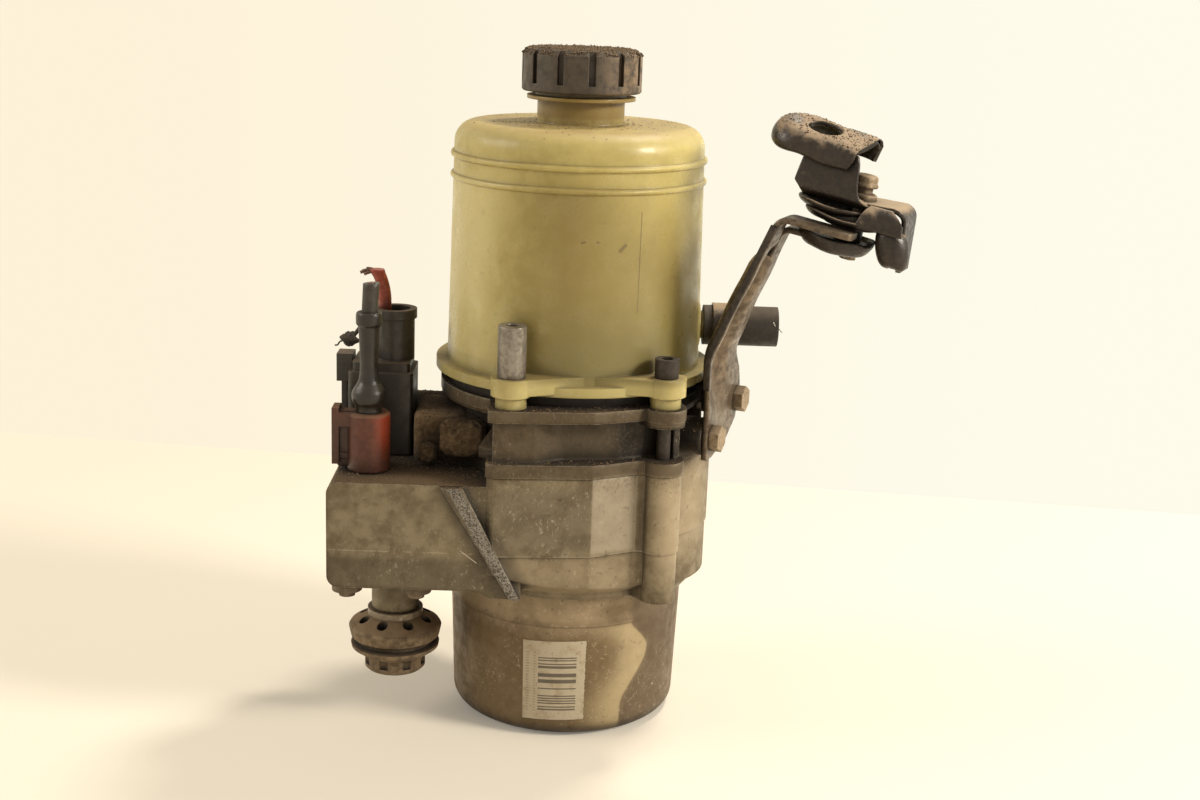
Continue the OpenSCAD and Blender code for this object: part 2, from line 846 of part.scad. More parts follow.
// Gear pump
function involute(r_base, t) = let (a = t * 180 / PI) [
    r_base * (cos(a) + t * sin(a)),
    r_base * (sin(a) - t * cos(a))
];
function spin(p, a) = [p[0] * cos(a) - p[1] * sin(a), p[0] * sin(a) + p[1] * cos(a)];

flank_steps = 6;
backlash = 0.25;

// One tooth about the X axis, from root to tip and back
function tooth_points() =
    let (
        r_base = pitch_r * cos(pressure_angle),
        t_pitch = tan(pressure_angle),
        t_tip = sqrt(pow(tip_r / r_base, 2) - 1),
        at_pitch = (t_pitch * 180 / PI) - atan(t_pitch),
        half = 90 / gear_teeth - (backlash / 2 / pitch_r) * 180 / PI,
        side = [for (k = [0:flank_steps])
            spin(involute(r_base, t_tip * k / flank_steps), -half - at_pitch)],
        foot = root_r < r_base ? [[root_r * cos(half + at_pitch), -root_r * sin(half + at_pitch)]] : [],
        low = concat(foot, side)
    )
    concat(low, [for (k = [len(low) - 1:-1:0]) [low[k][0], -low[k][1]]]);

module gear_plan() {
    circle(r = root_r + 0.01);
    for (i = [0:gear_teeth - 1])
        rotate(i * 360 / gear_teeth) polygon(concat(tooth_points(), [[0, 0]]));
}

module drive_gear() {
    bottom = z_couple + 8;
    color("#a9a49a") {
        translate([0, 0, z_gear + 0.05]) linear_extrude(gear_w) gear_plan();
        translate([0, 0, bottom]) cylinder(h = z_cover + 7 - bottom, r = journal_r);
    }
}

module idler_gear() {
    color("#a9a49a") translate([0, axis_gap, 0]) {
        translate([0, 0, z_gear + 0.05])
            linear_extrude(gear_w) rotate(gear_teeth % 2 == 0 ? 180 / gear_teeth : 0) gear_plan();
        translate([0, 0, z_seat + 1.5]) cylinder(h = z_cover + 5.5 - z_seat, r = journal_r);
    }
}

module pump_plan() {
    circle(r = block_r);
    translate([0, axis_gap]) circle(r = block_r);
    translate([-block_r, 0]) square([2 * block_r, axis_gap]);
}

module gear_screw_points() {
    for (x = [-gear_bolt, gear_bolt])
        for (y = [-gear_bolt, axis_gap + gear_bolt])
            translate([x, y, 0]) children();
}

module gear_housing() {
    port_y = axis_gap / 2;
    color("#9b968a") difference() {
        translate([0, 0, z_seat]) linear_extrude(z_cover - z_seat) pump_plan();
        for (y = [0, axis_gap])
            translate([0, y, z_gear]) cylinder(h = gear_w + 2, r = pocket_r);
        translate([0, 0, z_seat - 1]) cylinder(h = 20, r = journal_r + fit_run);
        translate([0, axis_gap, z_seat + 1]) cylinder(h = 20, r = journal_r + fit_run);
        translate([4, port_y - 4.5, z_gear + 2]) cube([30, 9, gear_w - 4]);
        translate([-19.5, port_y - 4.5, z_gear + 2]) cube([15, 9, gear_w - 4]);
        translate([-16, port_y - 2, z_seat - 1]) cylinder(h = 12, r = 3);
        translate([-22, gallery_y - 3, z_seat - 1]) cube([7, 6, 3.5]);
        gear_screw_points() translate([0, 0, z_seat - 1]) cylinder(h = 40, r = 2.6);
    }
}

module gear_cover() {
    color("#8f8a7e") difference() {
        translate([0, 0, z_cover]) linear_extrude(cover_t) pump_plan();
        for (y = [0, axis_gap])
            translate([0, y, z_cover - 1]) cylinder(h = 8.5, r = journal_r + fit_run);
        gear_screw_points() translate([0, 0, z_cover - 1]) cylinder(h = 40, r = 2.6);
    }
}

module gear_screws() {
    z_head = z_cover + cover_t;
    color(steel) gear_screw_points() {
        translate([0, 0, z_seat - 11]) cylinder(h = z_head - z_seat + 11, r = 2.4);
        translate([0, 0, z_head]) difference() {
            cylinder(h = 5, r = 4.2);
            translate([0, 0, 2.5]) hex(4, 4);
        }
    }
}

module suction_strainer() {
    color("#b9a878") translate([0, 0, z_seat]) difference() {
        ring(strainer_r, strainer_r - 0.8, strainer_h);
        for (i = [0:23])
            rotate([0, 0, i * 15 + 7.5])
                for (z = [3, 16.5])
                    translate([strainer_r - 3.6, -4.5, z]) cube([6, 9, 10.5]);
    }
}

// Reservoir
module reservoir_seal() {
    color(rubber) translate([0, 0, z_seat]) ring(tank_r - seal_gap, strainer_r + 0.9, z_flange - z_seat);
}

// Half section of the tank, drawn in by t for the inside
module tank_outline(t) {
    r_low = tank_r - t;
    r_top = tank_r - tank_draft - t;
    rr = shoulder_r - t / 2;
    z_bend = z_shoulder - t - rr;
    z_low = z_flange - min(t, 1);
    polygon([[0, z_low], [r_low, z_low], [r_top, z_bend], [0, z_bend]]);
    translate([0, z_bend]) square([r_top - rr, rr]);
    translate([r_top - rr, z_bend]) intersection() {
        circle(r = rr);
        square(rr);
    }
}

// Lug with its web: the boss, and the web's corners on the tank
module lug(a, side) {
    web_turn = 29;
    at_bolt(a) translate([0, 0, z_flange + 0.4]) cylinder(h = z_lug - z_flange - 0.4, r = boss_r + 0.8);
    at_bolt(a) translate([0, 0, z_pad]) cylinder(h = z_flange - z_pad + 2, r = boss_r - 1.2);
    translate([0, 0, z_flange + 1])
        linear_extrude(z_lug - z_flange - 1)
            rotate(a)
                polygon([
                    [tank_r - 4, -side * 6],
                    [bolt_r + 1, -side * (boss_r - 0.2)],
                    [bolt_r + boss_r - 1.2, side * 3.5],
                    [(tank_r - 0.4) * cos(web_turn), side * (tank_r - 0.4) * sin(web_turn)],
                    [(tank_r - 5) * cos(web_turn), side * (tank_r - 5) * sin(web_turn)]
                ]);
}

module reservoir() {
    thread_neck = 19.4;
    neck_top = z_cap + cap_h - 6;
    neck_in = neck_r - tank_wall;
    color(tank_colour) difference() {
        union() {
            rotate_extrude() tank_outline(0);
            translate([0, 0, z_flange]) cylinder(h = flange_t, r = flange_r);
            for (z = [z_shoulder - 13.9, z_shoulder - 22.8])
                translate([0, 0, z])
                    rotate_extrude() translate([tank_r - tank_draft + 0.2, 0]) circle(r = 1.3);
            translate([0, 0, z_shoulder - 2]) cylinder(h = z_collar - z_shoulder + 2, r = neck_r);
            translate([0, 0, z_collar]) cylinder(h = 1.5, r = collar_r);
            translate([0, 0, z_collar]) cylinder(h = neck_top - z_collar, r = thread_neck);
            lug(bolt_angles[0], 1);
            lug(bolt_angles[1], -1);
            lug(bolt_angles[2], 1);
            lug(bolt_angles[3], -1);
            translate([40, hose_y, hose_z]) rotate([0, 90, 0]) {
                cylinder(h = hose_x + nozzle_grip - 40, r = hose_bore);
                cylinder(h = hose_x - 41.5, r = hose_r + 0.6);
            }
        }
        rotate_extrude() tank_outline(tank_wall);
        translate([0, 0, z_shoulder - 8]) cylinder(h = 60, r = neck_in);
        translate([30, hose_y, hose_z]) rotate([0, 90, 0]) cylinder(h = 60, r = hose_bore - 1.8);
        for (a = bolt_angles)
            at_bolt(a) translate([0, 0, z_pad - 1]) cylinder(h = 30, r = screw_r + fit_screw);
    }
}

module filler_cap() {
    inner = 20.2;
    color("#4b463f") translate([0, 0, z_cap]) difference() {
        rotate_extrude()
            polygon([
                [0, 0], [cap_r - 0.6, 0], [cap_r, 0.6], [cap_r, cap_h - 2.6], [cap_r - 1.8, cap_h - 0.7],
                [cap_r - 5, cap_h], [0, cap_h - 0.6]
            ]);
        translate([0, 0, -1]) cylinder(h = cap_h - 2.3, r = inner);
        for (i = [0:cap_slots - 1])
            rotate([0, 0, i * 360 / cap_slots + 9.5])
                translate([cap_r - 2, -1.4, 3.6]) cube([6, 2.8, cap_h]);
    }
}

module cap_gasket() {
    color(rubber) translate([0, 0, z_cap + cap_h - 6 + 0.2]) ring(19.4, 15, 2.2);
}

// Fasteners that hold the reservoir and both castings
module spacer_stud() {
    color("#a7a49d") at_bolt(bolt_angles[0]) difference() {
        union() {
            translate([0, 0, z_lug]) cylinder(h = 21.5, r = 5.85);
            translate([0, 0, screw_bottom + 2]) cylinder(h = z_lug - screw_bottom, r = screw_r);
        }
        translate([0, 0, z_lug + 10]) cylinder(h = 20, r = 2.5);
    }
}

module long_screws() {
    color("#3a3733")
        for (i = [1, 2, 3])
            at_bolt(bolt_angles[i]) difference() {
                union() {
                    translate([0, 0, z_lug]) cylinder(h = 8, r = 5);
                    translate([0, 0, screw_bottom + 2]) cylinder(h = z_lug - screw_bottom, r = screw_r);
                }
                translate([0, 0, z_lug + 4]) hex(5, 6);
            }
}

// Return hose
module return_hose() {
    color(black) translate([hose_x, hose_y, hose_z]) rotate([0, 90, 0]) difference() {
        cylinder(h = hose_len, r = hose_r);
        translate([0, 0, -1]) cylinder(h = nozzle_grip + 1.3, r = hose_bore);
        cylinder(h = hose_len + 1, r = hose_bore - hose_step);
    }
}

module hose_clamp() {
    color("#33302b") translate([hose_x + 4, hose_y, hose_z]) rotate([0, 90, 0]) difference() {
        union() {
            cylinder(h = 9, r = hose_r + 1.1);
            for (y = [-3.4, 1.9])
                translate([hose_r - 1, y, 1.5]) cube([7, 1.5, 6]);
        }
        translate([0, 0, -1]) cylinder(h = 11, r = hose_r);
    }
}

// Plugs and sockets
module power_socket() {
    color(black) translate([power_x, power_y, 0]) {
        translate([0, 0, z_roof - box_wall - 2]) cylinder(h = box_wall + 2, r = 5.9);
        translate([0, 0, z_roof]) cylinder(h = 14, r = 5.9);
    }
}

module power_plug() {
    color("#6b3126") translate([power_x, power_y, z_plug]) difference() {
        union() {
            cylinder(h = power_h - 1, r = power_r);
            translate([0, 0, power_h - 1]) cylinder(h = 1, r1 = power_r, r2 = power_r - 1);
            translate([-power_r - 3.4, -4.5, power_h - 6]) cube([power_r, 9, 6]);
            translate([-power_r - 6, -4.5, power_h - 22]) cube([3, 9, 24]);
            translate([-power_r - 3.4, -3, power_h - 20]) cube([power_r, 6, 2.5]);
        }
        translate([0, 0, -1]) cylinder(h = 16.5, r = 5.9 + fit_free);
        translate([0, 0, -1]) cylinder(h = power_h + 2, r = power_cable_r + 0.05);
    }
}

module power_boot() {
    color("#45433f") translate([power_x, power_y, z_plug + power_h]) difference() {
        union() {
            rotate_extrude()
                polygon([
                    [0, 0], [6.1, 0], [6.2, 3], [7, 6], [7.2, 8.5], [6.6, 11.5], [5.2, 14.5], [4.5, 18],
                    [4.3, 23], [4.4, 30], [4.8, 36.5], [5.3, 37.2], [5.4, 38.5], [5.4, 41], [5, 42], [0, 42]
                ]);
        }
        translate([0, 0, -1]) cylinder(h = 60, r = power_cable_r + 0.05);
    }
}

module power_cable() {
    color("#3a3835") translate([power_x, power_y, z_plug + 16]) cylinder(h = power_h + 38, r = power_cable_r);
}

module signal_socket() {
    color(black) {
        translate([signal_x - 8.9, signal_y - 6.9, z_roof - box_wall - 2]) cube([17.8, 13.8, box_wall + 18]);
    }
}

module signal_plug() {
    x1 = signal_w / 2;
    color(black) translate([signal_x, signal_y, z_plug]) difference() {
        union() {
            linear_extrude(signal_h - 4) rounded(-x1, -13, x1, 13, 2);
            translate([0, 0, signal_h - 4]) linear_extrude(4) rounded(-x1 + 1.5, -11.5, x1 - 1.5, 11.5, 2);
            translate([5, 0, signal_h]) cylinder(h = 18, r = 8.2);
            translate([5, 0, signal_h + 18]) cylinder(h = 4, r = 9.2);
            translate([-x1 - 6, -5, signal_h - 10]) cube([7, 10, 12]);
            translate([-x1 - 4, -4, 4]) cube([2.5, 8, signal_h - 10]);
            translate([-x1 - 4, -4, 4]) cube([6, 8, 2.5]);
        }
        translate([-8.9 - fit_free, -6.9 - fit_free, -1])
            cube([17.8 + 2 * fit_free, 13.8 + 2 * fit_free, 18.5]);
        translate([5, 0, signal_h + 10]) cylinder(h = 20, r = 6.4);
        translate([0, 0, signal_h - 2]) {
            translate([2.2, 0, 0]) cylinder(h = 20, r = 2.9);
            translate([8.2, 0, 0]) cylinder(h = 20, r = 2.4);
        }
    }
}

module signal_cable() {
    stub_r = 2.85;
    turn = 30;
    swing = 28;
    color("#7a2f22") translate([signal_x + 2.2, signal_y, z_plug + signal_h - 1.5]) {
        cylinder(h = 26, r = stub_r);
        translate([-swing, 0, 26]) rotate([90, 0, 0])
            rotate_extrude(angle = turn) translate([swing, 0]) circle(r = stub_r);
    }
}

// Bracket
module foot_outline() {
    low = foot_w * 0.16;
    polygon([
        [0, 0], [low, 0], [foot_w * 0.62, 5], [foot_w * 0.9, 13], [foot_w, 28], [foot_w - 2, foot_run],
        [0, foot_run]
    ]);
}

module bracket_arm() {
    slope_w = foot_w - 8;
    color(steel) bracket_frame() translate([foot_u, foot_w0, foot_z]) difference() {
        union() {
            rotate([90, 0, -90]) mirror([1, 0, 0]) linear_extrude(arm_t) foot_outline();
            translate([0, slope_w / 2, foot_run - foot_lap]) rotate([0, -90, 0]) arm_sheets(slope_w);
        }
        for (p = bracket_bolts_at)
            translate([-10, p[0] - foot_w0, p[1]]) rotate([0, 90, 0]) cylinder(h = 20, r = 3.3);
        translate([0, slope_w / 2, foot_run]) rotate([0, -90, 0]) after_bend(arm_lean, knee_r) arm_cuts(slope_w);
    }
}

// The sloping part, drawn in towards its head, and the two tongues there, one folded lower than the other
foot_lap = 3;
low_drop = 6.2;
elbow_turn = 90 - arm_lean + mount_tilt;

module arm_sheets(slope_w) {
    front_y = -slope_w / 2 + tongue_w / 2;
    head_y = -slope_w / 2 + 2 * tongue_w + 1;
    low_len = arm_len - low_drop;
    reach = foot_lap + knee_r * sin(arm_lean) + low_len * cos(arm_lean);
    intersection() {
        sheet([[foot_lap], [arm_lean, knee_r], [low_len]], arm_t, slope_w);
        translate([0, 0, -80])
            linear_extrude(100)
                polygon([
                    [-1, -slope_w], [reach + 9, -slope_w], [reach + 9, head_y], [reach, head_y],
                    [foot_lap, slope_w / 2], [-1, slope_w / 2]
                ]);
    }
    translate([0, front_y, 0])
        sheet([[foot_lap], [arm_lean, knee_r], [arm_len], [elbow_turn, elbow_r], [leaf_run]], arm_t, tongue_w);
    translate([0, front_y + tongue_w + 1, 0])
        sheet([[foot_lap], [arm_lean, knee_r], [low_len], [elbow_turn, elbow_r], [leaf_run + 4]], arm_t, tongue_w);
}

// The pressed channel, and the bolt's hole in the lower tongue
module arm_cuts(slope_w) {
    back_y = -slope_w / 2 + 1.5 * tongue_w + 1;
    translate([4, -2, -1]) linear_extrude(1.9) rounded(0, -5.5, arm_len - low_drop - 12, 5.5, 5);
    translate([arm_len - low_drop, back_y, 0])
        after_bend(elbow_turn, elbow_r)
            translate([mount_s + mount_bolt_s + 1.47, 1, -1]) cylinder(h = 9, r = 3.4);
}

module bracket_bolts() {
    color("#8b8070") bracket_frame()
        for (p = bracket_bolts_at)
            translate([foot_u, p[0], foot_z + p[1]]) rotate([0, 90, 0]) {
                hex(10, 4.2);
                translate([0, 0, -18]) cylinder(h = 19, r = screw_r);
            }
}

// Head of the bracket
module hood_half() {
    half = 13;
    corner = 9;
    drop = 11;
    difference() {
        hood_round(half, corner, drop);
        translate([0, -hood_t]) hood_round(half - hood_t, corner - hood_t, drop);
    }
}

module hood_round(half, corner, drop) {
    translate([0, -drop]) square([half, drop - corner]);
    translate([0, -corner - 0.01]) square([half - corner, corner + 0.01]);
    translate([half - corner, -corner]) intersection() {
        circle(r = corner);
        translate([0, -0.01]) square(corner + 0.01);
    }
}

module hood_bracket() {
    hood_run = 29;
    hood_s = 8.5;
    hole_s = -22.5;
    hood_tilt = 5;
    hood_roll = 20;
    hood_w = 3;
    shell_w = hood_w - 5.5;
    color(dark_steel) mount_frame() difference() {
        union() {
            translate([hood_s, shell_w, hood_h]) rotate([hood_roll, hood_tilt, 0]) {
                translate([-hood_run, 0, 0]) rotate([0, 0, 90]) rotate_extrude(angle = 180) hood_half();
                for (m = [0, 1])
                    mirror([0, m, 0])
                        translate([-hood_run, 0, 0])
                            rotate([90, 0, 90]) linear_extrude(hood_run) hood_half();
            }
            translate([0, hood_w - 13 + hood_t, 0]) rotate([90, 0, 0])
                linear_extrude(hood_t)
                    polygon([
                        [-14, 6.5], [12, 6.5], [8.5, 12], [6.5, 20], [7.5, hood_h - 12], [-17, hood_h - 10],
                        [-18.5, 16]
                    ]);
            translate([-14, hood_w - 13, 6.5]) cube([30, 24, hood_t]);
        }
        translate([hood_s, shell_w, hood_h])
            rotate([hood_roll, hood_tilt, 0])
                translate([hole_s, 0, -9]) cylinder(h = 20, r = hood_hole_r);
        translate([mount_bolt_s, mount_bolt_w, 0]) cylinder(h = 20, r = 3.4);
    }
}

module mount_bush() {
    color(rubber) at_mount_bolt() difference() {
        union() {
            translate([0, 0, -arm_t - 3]) cylinder(h = arm_t + 4, r = 5.6);
            translate([0, 0, 0.2]) cylinder(h = 6.3, r = 11);
        }
        translate([0, 0, -10]) cylinder(h = 30, r = 3.2);
    }
}

module mount_clip() {
    top = 6.5 + hood_t;
    wall_s = 27;
    width = 22;
    color("#3b352f") mount_frame() translate([0, 3, 0]) difference() {
        union() {
            translate([0, width / 2 - 10, top]) sheet([[wall_s - 4], [80, 4], [20]], hood_t, width - 2);
            translate([12.5, -13 - hood_t, 2]) cube([13, hood_t, top + hood_t - 2]);
            translate([13, -13.5, top]) cube([9.5, 6, hood_t]);
        }
        translate([mount_bolt_s, mount_bolt_w - 3, 0]) cylinder(h = 20, r = 3.4);
    }
}

module mount_cup() {
    color(dark_steel) at_mount_bolt() translate([0, 0, -arm_t - 8.5]) difference() {
        union() {
            cylinder(h = 2.2, r = 10);
            translate([0, 0, 0]) ring(15.5, 9, 1.6);
        }
        translate([0, 0, -10]) cylinder(h = 30, r = 3.4);
    }
}

module mount_bolt() {
    head_z = 6.5 + 2 * hood_t + 3;
    color("#86765f") at_mount_bolt() {
        translate([0, 0, -14]) cylinder(h = 14 + head_z, r = 3);
        translate([0, 0, head_z]) cylinder(h = 3, r = 4);
        translate([0, 0, head_z + 3]) hex(10, 4.6);
        translate([0, 0, -14]) hex(8, 2.7);
    }
}

module mount_washer() {
    color("#86765f") at_mount_bolt() translate([0, 0, 6.5 + 2 * hood_t]) ring(6, 3.1, 3);
}

motor_can();
main_housing();
pump_casting();
reservoir();
reservoir_seal();
filler_cap();
cap_gasket();
spacer_stud();
long_screws();
return_hose();
hose_clamp();
suction_strainer();
gear_housing();
gear_cover();
gear_screws();
drive_gear();
idler_gear();
relief_poppet();
relief_spring();
relief_plug();
shaft_coupling();
shaft_seal();
motor_shaft();
rotor_core();
rotor_magnets();
stator_core();
stator_coils();
upper_outer_ring();
upper_inner_ring();
upper_balls();
lower_outer_ring();
lower_inner_ring();
lower_balls();
phase_busbars();
circuit_board();
capacitors();
power_transistors();
box_cover();
cover_screws();
power_socket();
power_plug();
power_boot();
power_cable();
signal_socket();
signal_plug();
signal_cable();
isolator_stud();
isolator_washer();
isolator_bush();
bracket_arm();
bracket_bolts();
hood_bracket();
mount_clip();
mount_bush();
mount_cup();
mount_bolt();
mount_washer();
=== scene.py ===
import json
import math

import bpy
import numpy as np
from mathutils import Matrix, Vector


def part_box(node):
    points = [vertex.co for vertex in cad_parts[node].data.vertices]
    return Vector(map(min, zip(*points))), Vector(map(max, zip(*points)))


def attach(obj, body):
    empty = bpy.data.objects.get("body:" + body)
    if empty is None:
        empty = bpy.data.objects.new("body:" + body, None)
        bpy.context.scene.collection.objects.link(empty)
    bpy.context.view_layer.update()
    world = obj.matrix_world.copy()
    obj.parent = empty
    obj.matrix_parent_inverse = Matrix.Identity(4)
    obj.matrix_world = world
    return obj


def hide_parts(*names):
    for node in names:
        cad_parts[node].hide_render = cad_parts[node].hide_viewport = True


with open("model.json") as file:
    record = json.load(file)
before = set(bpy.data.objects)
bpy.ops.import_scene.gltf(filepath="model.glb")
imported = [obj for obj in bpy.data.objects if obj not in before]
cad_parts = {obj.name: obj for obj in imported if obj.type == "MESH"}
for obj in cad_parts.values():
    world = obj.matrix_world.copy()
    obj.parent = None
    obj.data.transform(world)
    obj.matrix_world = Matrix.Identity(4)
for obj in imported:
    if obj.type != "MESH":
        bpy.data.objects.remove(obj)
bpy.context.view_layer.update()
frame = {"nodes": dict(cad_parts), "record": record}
parts = frame["nodes"]
scene = bpy.context.scene
scene.view_settings.view_transform = "Standard"
MM = 0.001


def tone(red, green, blue):
    """A colour as seen on screen, 0 to 255, turned into the shader's linear values."""
    seen = np.array([red, green, blue]) / 255.0
    linear = np.where(seen <= 0.04045, seen / 12.92, ((seen + 0.055) / 1.055) ** 2.4)
    return (float(linear[0]), float(linear[1]), float(linear[2]), 1.0)


def linked(name, data):
    """A new object in the scene."""
    thing = bpy.data.objects.new(name, data)
    scene.collection.objects.link(thing)
    return thing


# Camera at the photograph's place, tilt and lens

CAMERA_AT = Vector((0.0, -0.7144, 0.3231))
CAMERA_YAW = math.radians(1.01)
CAMERA_PITCH = math.radians(14.44)
CAMERA_ROLL = math.radians(2.12)
LENS, SENSOR = 50.0, 36.0


def place_camera():
    """Camera axes from yaw, downward pitch and roll, set as the columns of its matrix."""
    ahead = Vector((math.sin(CAMERA_YAW), math.cos(CAMERA_YAW), 0.0))
    side = Vector((math.cos(CAMERA_YAW), -math.sin(CAMERA_YAW), 0.0))
    forward = ahead * math.cos(CAMERA_PITCH) - Vector((0, 0, 1)) * math.sin(CAMERA_PITCH)
    upward = ahead * math.sin(CAMERA_PITCH) + Vector((0, 0, 1)) * math.cos(CAMERA_PITCH)
    right = side * math.cos(CAMERA_ROLL) + upward * math.sin(CAMERA_ROLL)
    top = upward * math.cos(CAMERA_ROLL) - side * math.sin(CAMERA_ROLL)
    lens = bpy.data.cameras.new("camera")
    lens.lens = LENS
    lens.sensor_width = SENSOR
    camera = linked("camera", lens)
    turn = Matrix((right, top, -forward)).transposed().to_4x4()
    camera.matrix_world = Matrix.Translation(CAMERA_AT) @ turn
    scene.camera = camera


place_camera()


# Node trees

class Tree:
    """Makes nodes in one tree. A keyword or a place in the list gives an input: a socket is joined, a value is set."""

    def __init__(self, tree):
        self.tree = tree

    def put(self, socket, value):
        if isinstance(value, bpy.types.NodeSocket):
            self.tree.links.new(value, socket)
        else:
            socket.default_value = value

    def add(self, kind, *inputs, settings=None, **named):
        node = self.tree.nodes.new("ShaderNode" + kind)
        for key, value in (settings or {}).items():
            setattr(node, key, value)
        for place, value in enumerate(inputs):
            if value is not None:
                self.put(node.inputs[place], value)
        for name, value in named.items():
            self.put(node.inputs[name.replace("_", " ")], value)
        return node

    def math(self, work, a, b=0.0, clamp=False):
        return self.add("Math", a, b, settings={"operation": work, "use_clamp": clamp}).outputs[0]

    def span(self, value, low, high, to_low=0.0, to_high=1.0):
        """Smooth step of a value from low to high."""
        node = self.add("MapRange", value, low, high, to_low, to_high, settings={"interpolation_type": "SMOOTHSTEP"})
        return node.outputs[0]

    def mix(self, share, a, b):
        """Two colours mixed by a share."""
        node = self.add("Mix", settings={"data_type": "RGBA"})
        self.put(node.inputs[0], share)
        self.put(node.inputs[6], a)
        self.put(node.inputs[7], b)
        return node.outputs[2]

    def blend(self, share, a, b):
        """Two numbers mixed by a share."""
        node = self.add("Mix", settings={"data_type": "FLOAT"})
        self.put(node.inputs[0], share)
        self.put(node.inputs[2], a)
        self.put(node.inputs[3], b)
        return node.outputs[0]

    def noise(self, where, scale, detail=4.0, rough=0.6, twist=0.0):
        node = self.add("TexNoise", Vector=where, Scale=scale, Detail=detail, Roughness=rough, Distortion=twist)
        return node.outputs[0]

    def stretch(self, where, scale):
        return self.add("Mapping", Vector=where, Scale=scale).outputs[0]

    def split(self, where):
        return self.add("SeparateXYZ", where).outputs

    def here(self):
        return self.add("TexCoord").outputs["Object"]

    def reach(self, a, b):
        """The length of the long side over two legs."""
        return self.math("SQRT", self.math("ADD", self.math("POWER", a, 2.0), self.math("POWER", b, 2.0)))

    def ends(self):
        """The input and output sockets of a group."""
        start = self.tree.nodes.new("NodeGroupInput")
        end = self.tree.nodes.new("NodeGroupOutput")
        return start.outputs, end.inputs


def new_group(name, inputs, outputs):
    """A shader node group with float inputs (name, value) and outputs (name, socket type)."""
    group = bpy.data.node_groups.new(name, "ShaderNodeTree")
    for label, value in inputs:
        socket = group.interface.new_socket(label, in_out="INPUT", socket_type="NodeSocketFloat")
        socket.default_value = value
    for label, kind in outputs:
        group.interface.new_socket(label, in_out="OUTPUT", socket_type=kind)
    tree = Tree(group)
    return tree, tree.ends()


RAYS = 6


def make_weathering():
    """Settled dust on upward faces, a mask of hollows from ambient occlusion for dirt and painted shade, blotches,
    specks and grain, all from object coordinates.
    """
    tree, (given, out) = new_group(
        "weathering",
        [("Blotch Scale", 40.0), ("Speck Scale", 500.0), ("Grain Scale", 1400.0), ("Hollow Reach", 0.012),
         ("Patchiness", 0.7)],
        [(n, "NodeSocketFloat") for n in ("Blotch", "Fine Blotch", "Speck", "Settled", "Hollow", "Grain")],
    )
    here = tree.here()
    blotch = tree.noise(here, given["Blotch Scale"], 6.0, 0.62, 0.3)
    fine = tree.noise(here, tree.math("MULTIPLY", given["Blotch Scale"], 5.0), 5.0, 0.65)
    dots = tree.noise(here, given["Speck Scale"], 3.0, 0.55)
    grain = tree.noise(here, given["Grain Scale"], 3.0, 0.6)
    facing = tree.split(tree.add("NewGeometry").outputs["Normal"])[2]
    hollow = tree.add("AmbientOcclusion", settings={"samples": RAYS}, Distance=given["Hollow Reach"]).outputs["AO"]
    uneven = tree.math("MULTIPLY", tree.math("SUBTRACT", blotch, 0.5), given["Patchiness"])
    lie = tree.math("ADD", facing, uneven)
    tree.put(out["Blotch"], tree.span(blotch, 0.34, 0.66))
    tree.put(out["Fine Blotch"], tree.span(fine, 0.36, 0.66))
    tree.put(out["Speck"], tree.span(dots, 0.62, 0.72))
    tree.put(out["Settled"], tree.span(lie, 0.35, 0.95))
    # Hollow is low ambient occlusion: it darkens hollows with dirt and painted shade.
    tree.put(out["Hollow"], tree.span(hollow, 0.92, 0.42))
    tree.put(out["Grain"], grain)
    return tree.tree


def make_edges():
    """Rounded normals at the edges, and a mask of how far they turn from the flat face."""
    tree, (given, out) = new_group(
        "worn_edges",
        [("Radius", 0.0008), ("Soften", 0.0008), ("Break Scale", 300.0)],
        [("Mask", "NodeSocketFloat"), ("Normal", "NodeSocketVector")],
    )
    turned = tree.add("Bevel", settings={"samples": RAYS}, Radius=given["Radius"]).outputs[0]
    flat = tree.add("NewGeometry").outputs["Normal"]
    dot = tree.add("VectorMath", turned, flat, settings={"operation": "DOT_PRODUCT"}).outputs["Value"]
    broken = tree.span(tree.noise(tree.here(), given["Break Scale"], 4.0, 0.65), 0.36, 0.6)
    tree.put(out["Mask"], tree.math("MULTIPLY", tree.span(dot, 0.985, 0.86), broken))
    tree.put(out["Normal"], tree.add("Bevel", settings={"samples": RAYS}, Radius=given["Soften"]).outputs[0])
    return tree.tree


def make_scratch():
    """A thin line seen from the front: the distance in X and Z to the segment from A to B, against its half width."""
    tree, (given, out) = new_group(
        "front_scratch",
        [("AX", 0.0), ("AZ", 0.0), ("BX", 0.01), ("BZ", 0.01), ("Half Width", 0.0003)],
        [("Mask", "NodeSocketFloat")],
    )
    x, y, z = tree.split(tree.here())
    run_x = tree.math("SUBTRACT", given["BX"], given["AX"])
    run_z = tree.math("SUBTRACT", given["BZ"], given["AZ"])
    from_x = tree.math("SUBTRACT", x, given["AX"])
    from_z = tree.math("SUBTRACT", z, given["AZ"])
    along = tree.math("ADD", tree.math("MULTIPLY", from_x, run_x), tree.math("MULTIPLY", from_z, run_z))
    square = tree.math("ADD", tree.math("MULTIPLY", run_x, run_x), tree.math("MULTIPLY", run_z, run_z))
    share = tree.math("DIVIDE", along, square, clamp=True)
    off_x = tree.math("SUBTRACT", from_x, tree.math("MULTIPLY", run_x, share))
    off_z = tree.math("SUBTRACT", from_z, tree.math("MULTIPLY", run_z, share))
    near = tree.math("DIVIDE", tree.reach(off_x, off_z), given["Half Width"])
    front = tree.math("LESS_THAN", y, 0.0)
    tree.put(out["Mask"], tree.math("MULTIPLY", tree.span(near, 1.2, 0.5), front))
    return tree.tree


WEATHERING = make_weathering()
EDGES = make_edges()
SCRATCH = make_scratch()


def use_group(tree, group, **values):
    node = tree.tree.nodes.new("ShaderNodeGroup")
    node.node_tree = group
    for name, value in values.items():
        tree.put(node.inputs[name.replace("_", " ")], value)
    return node.outputs


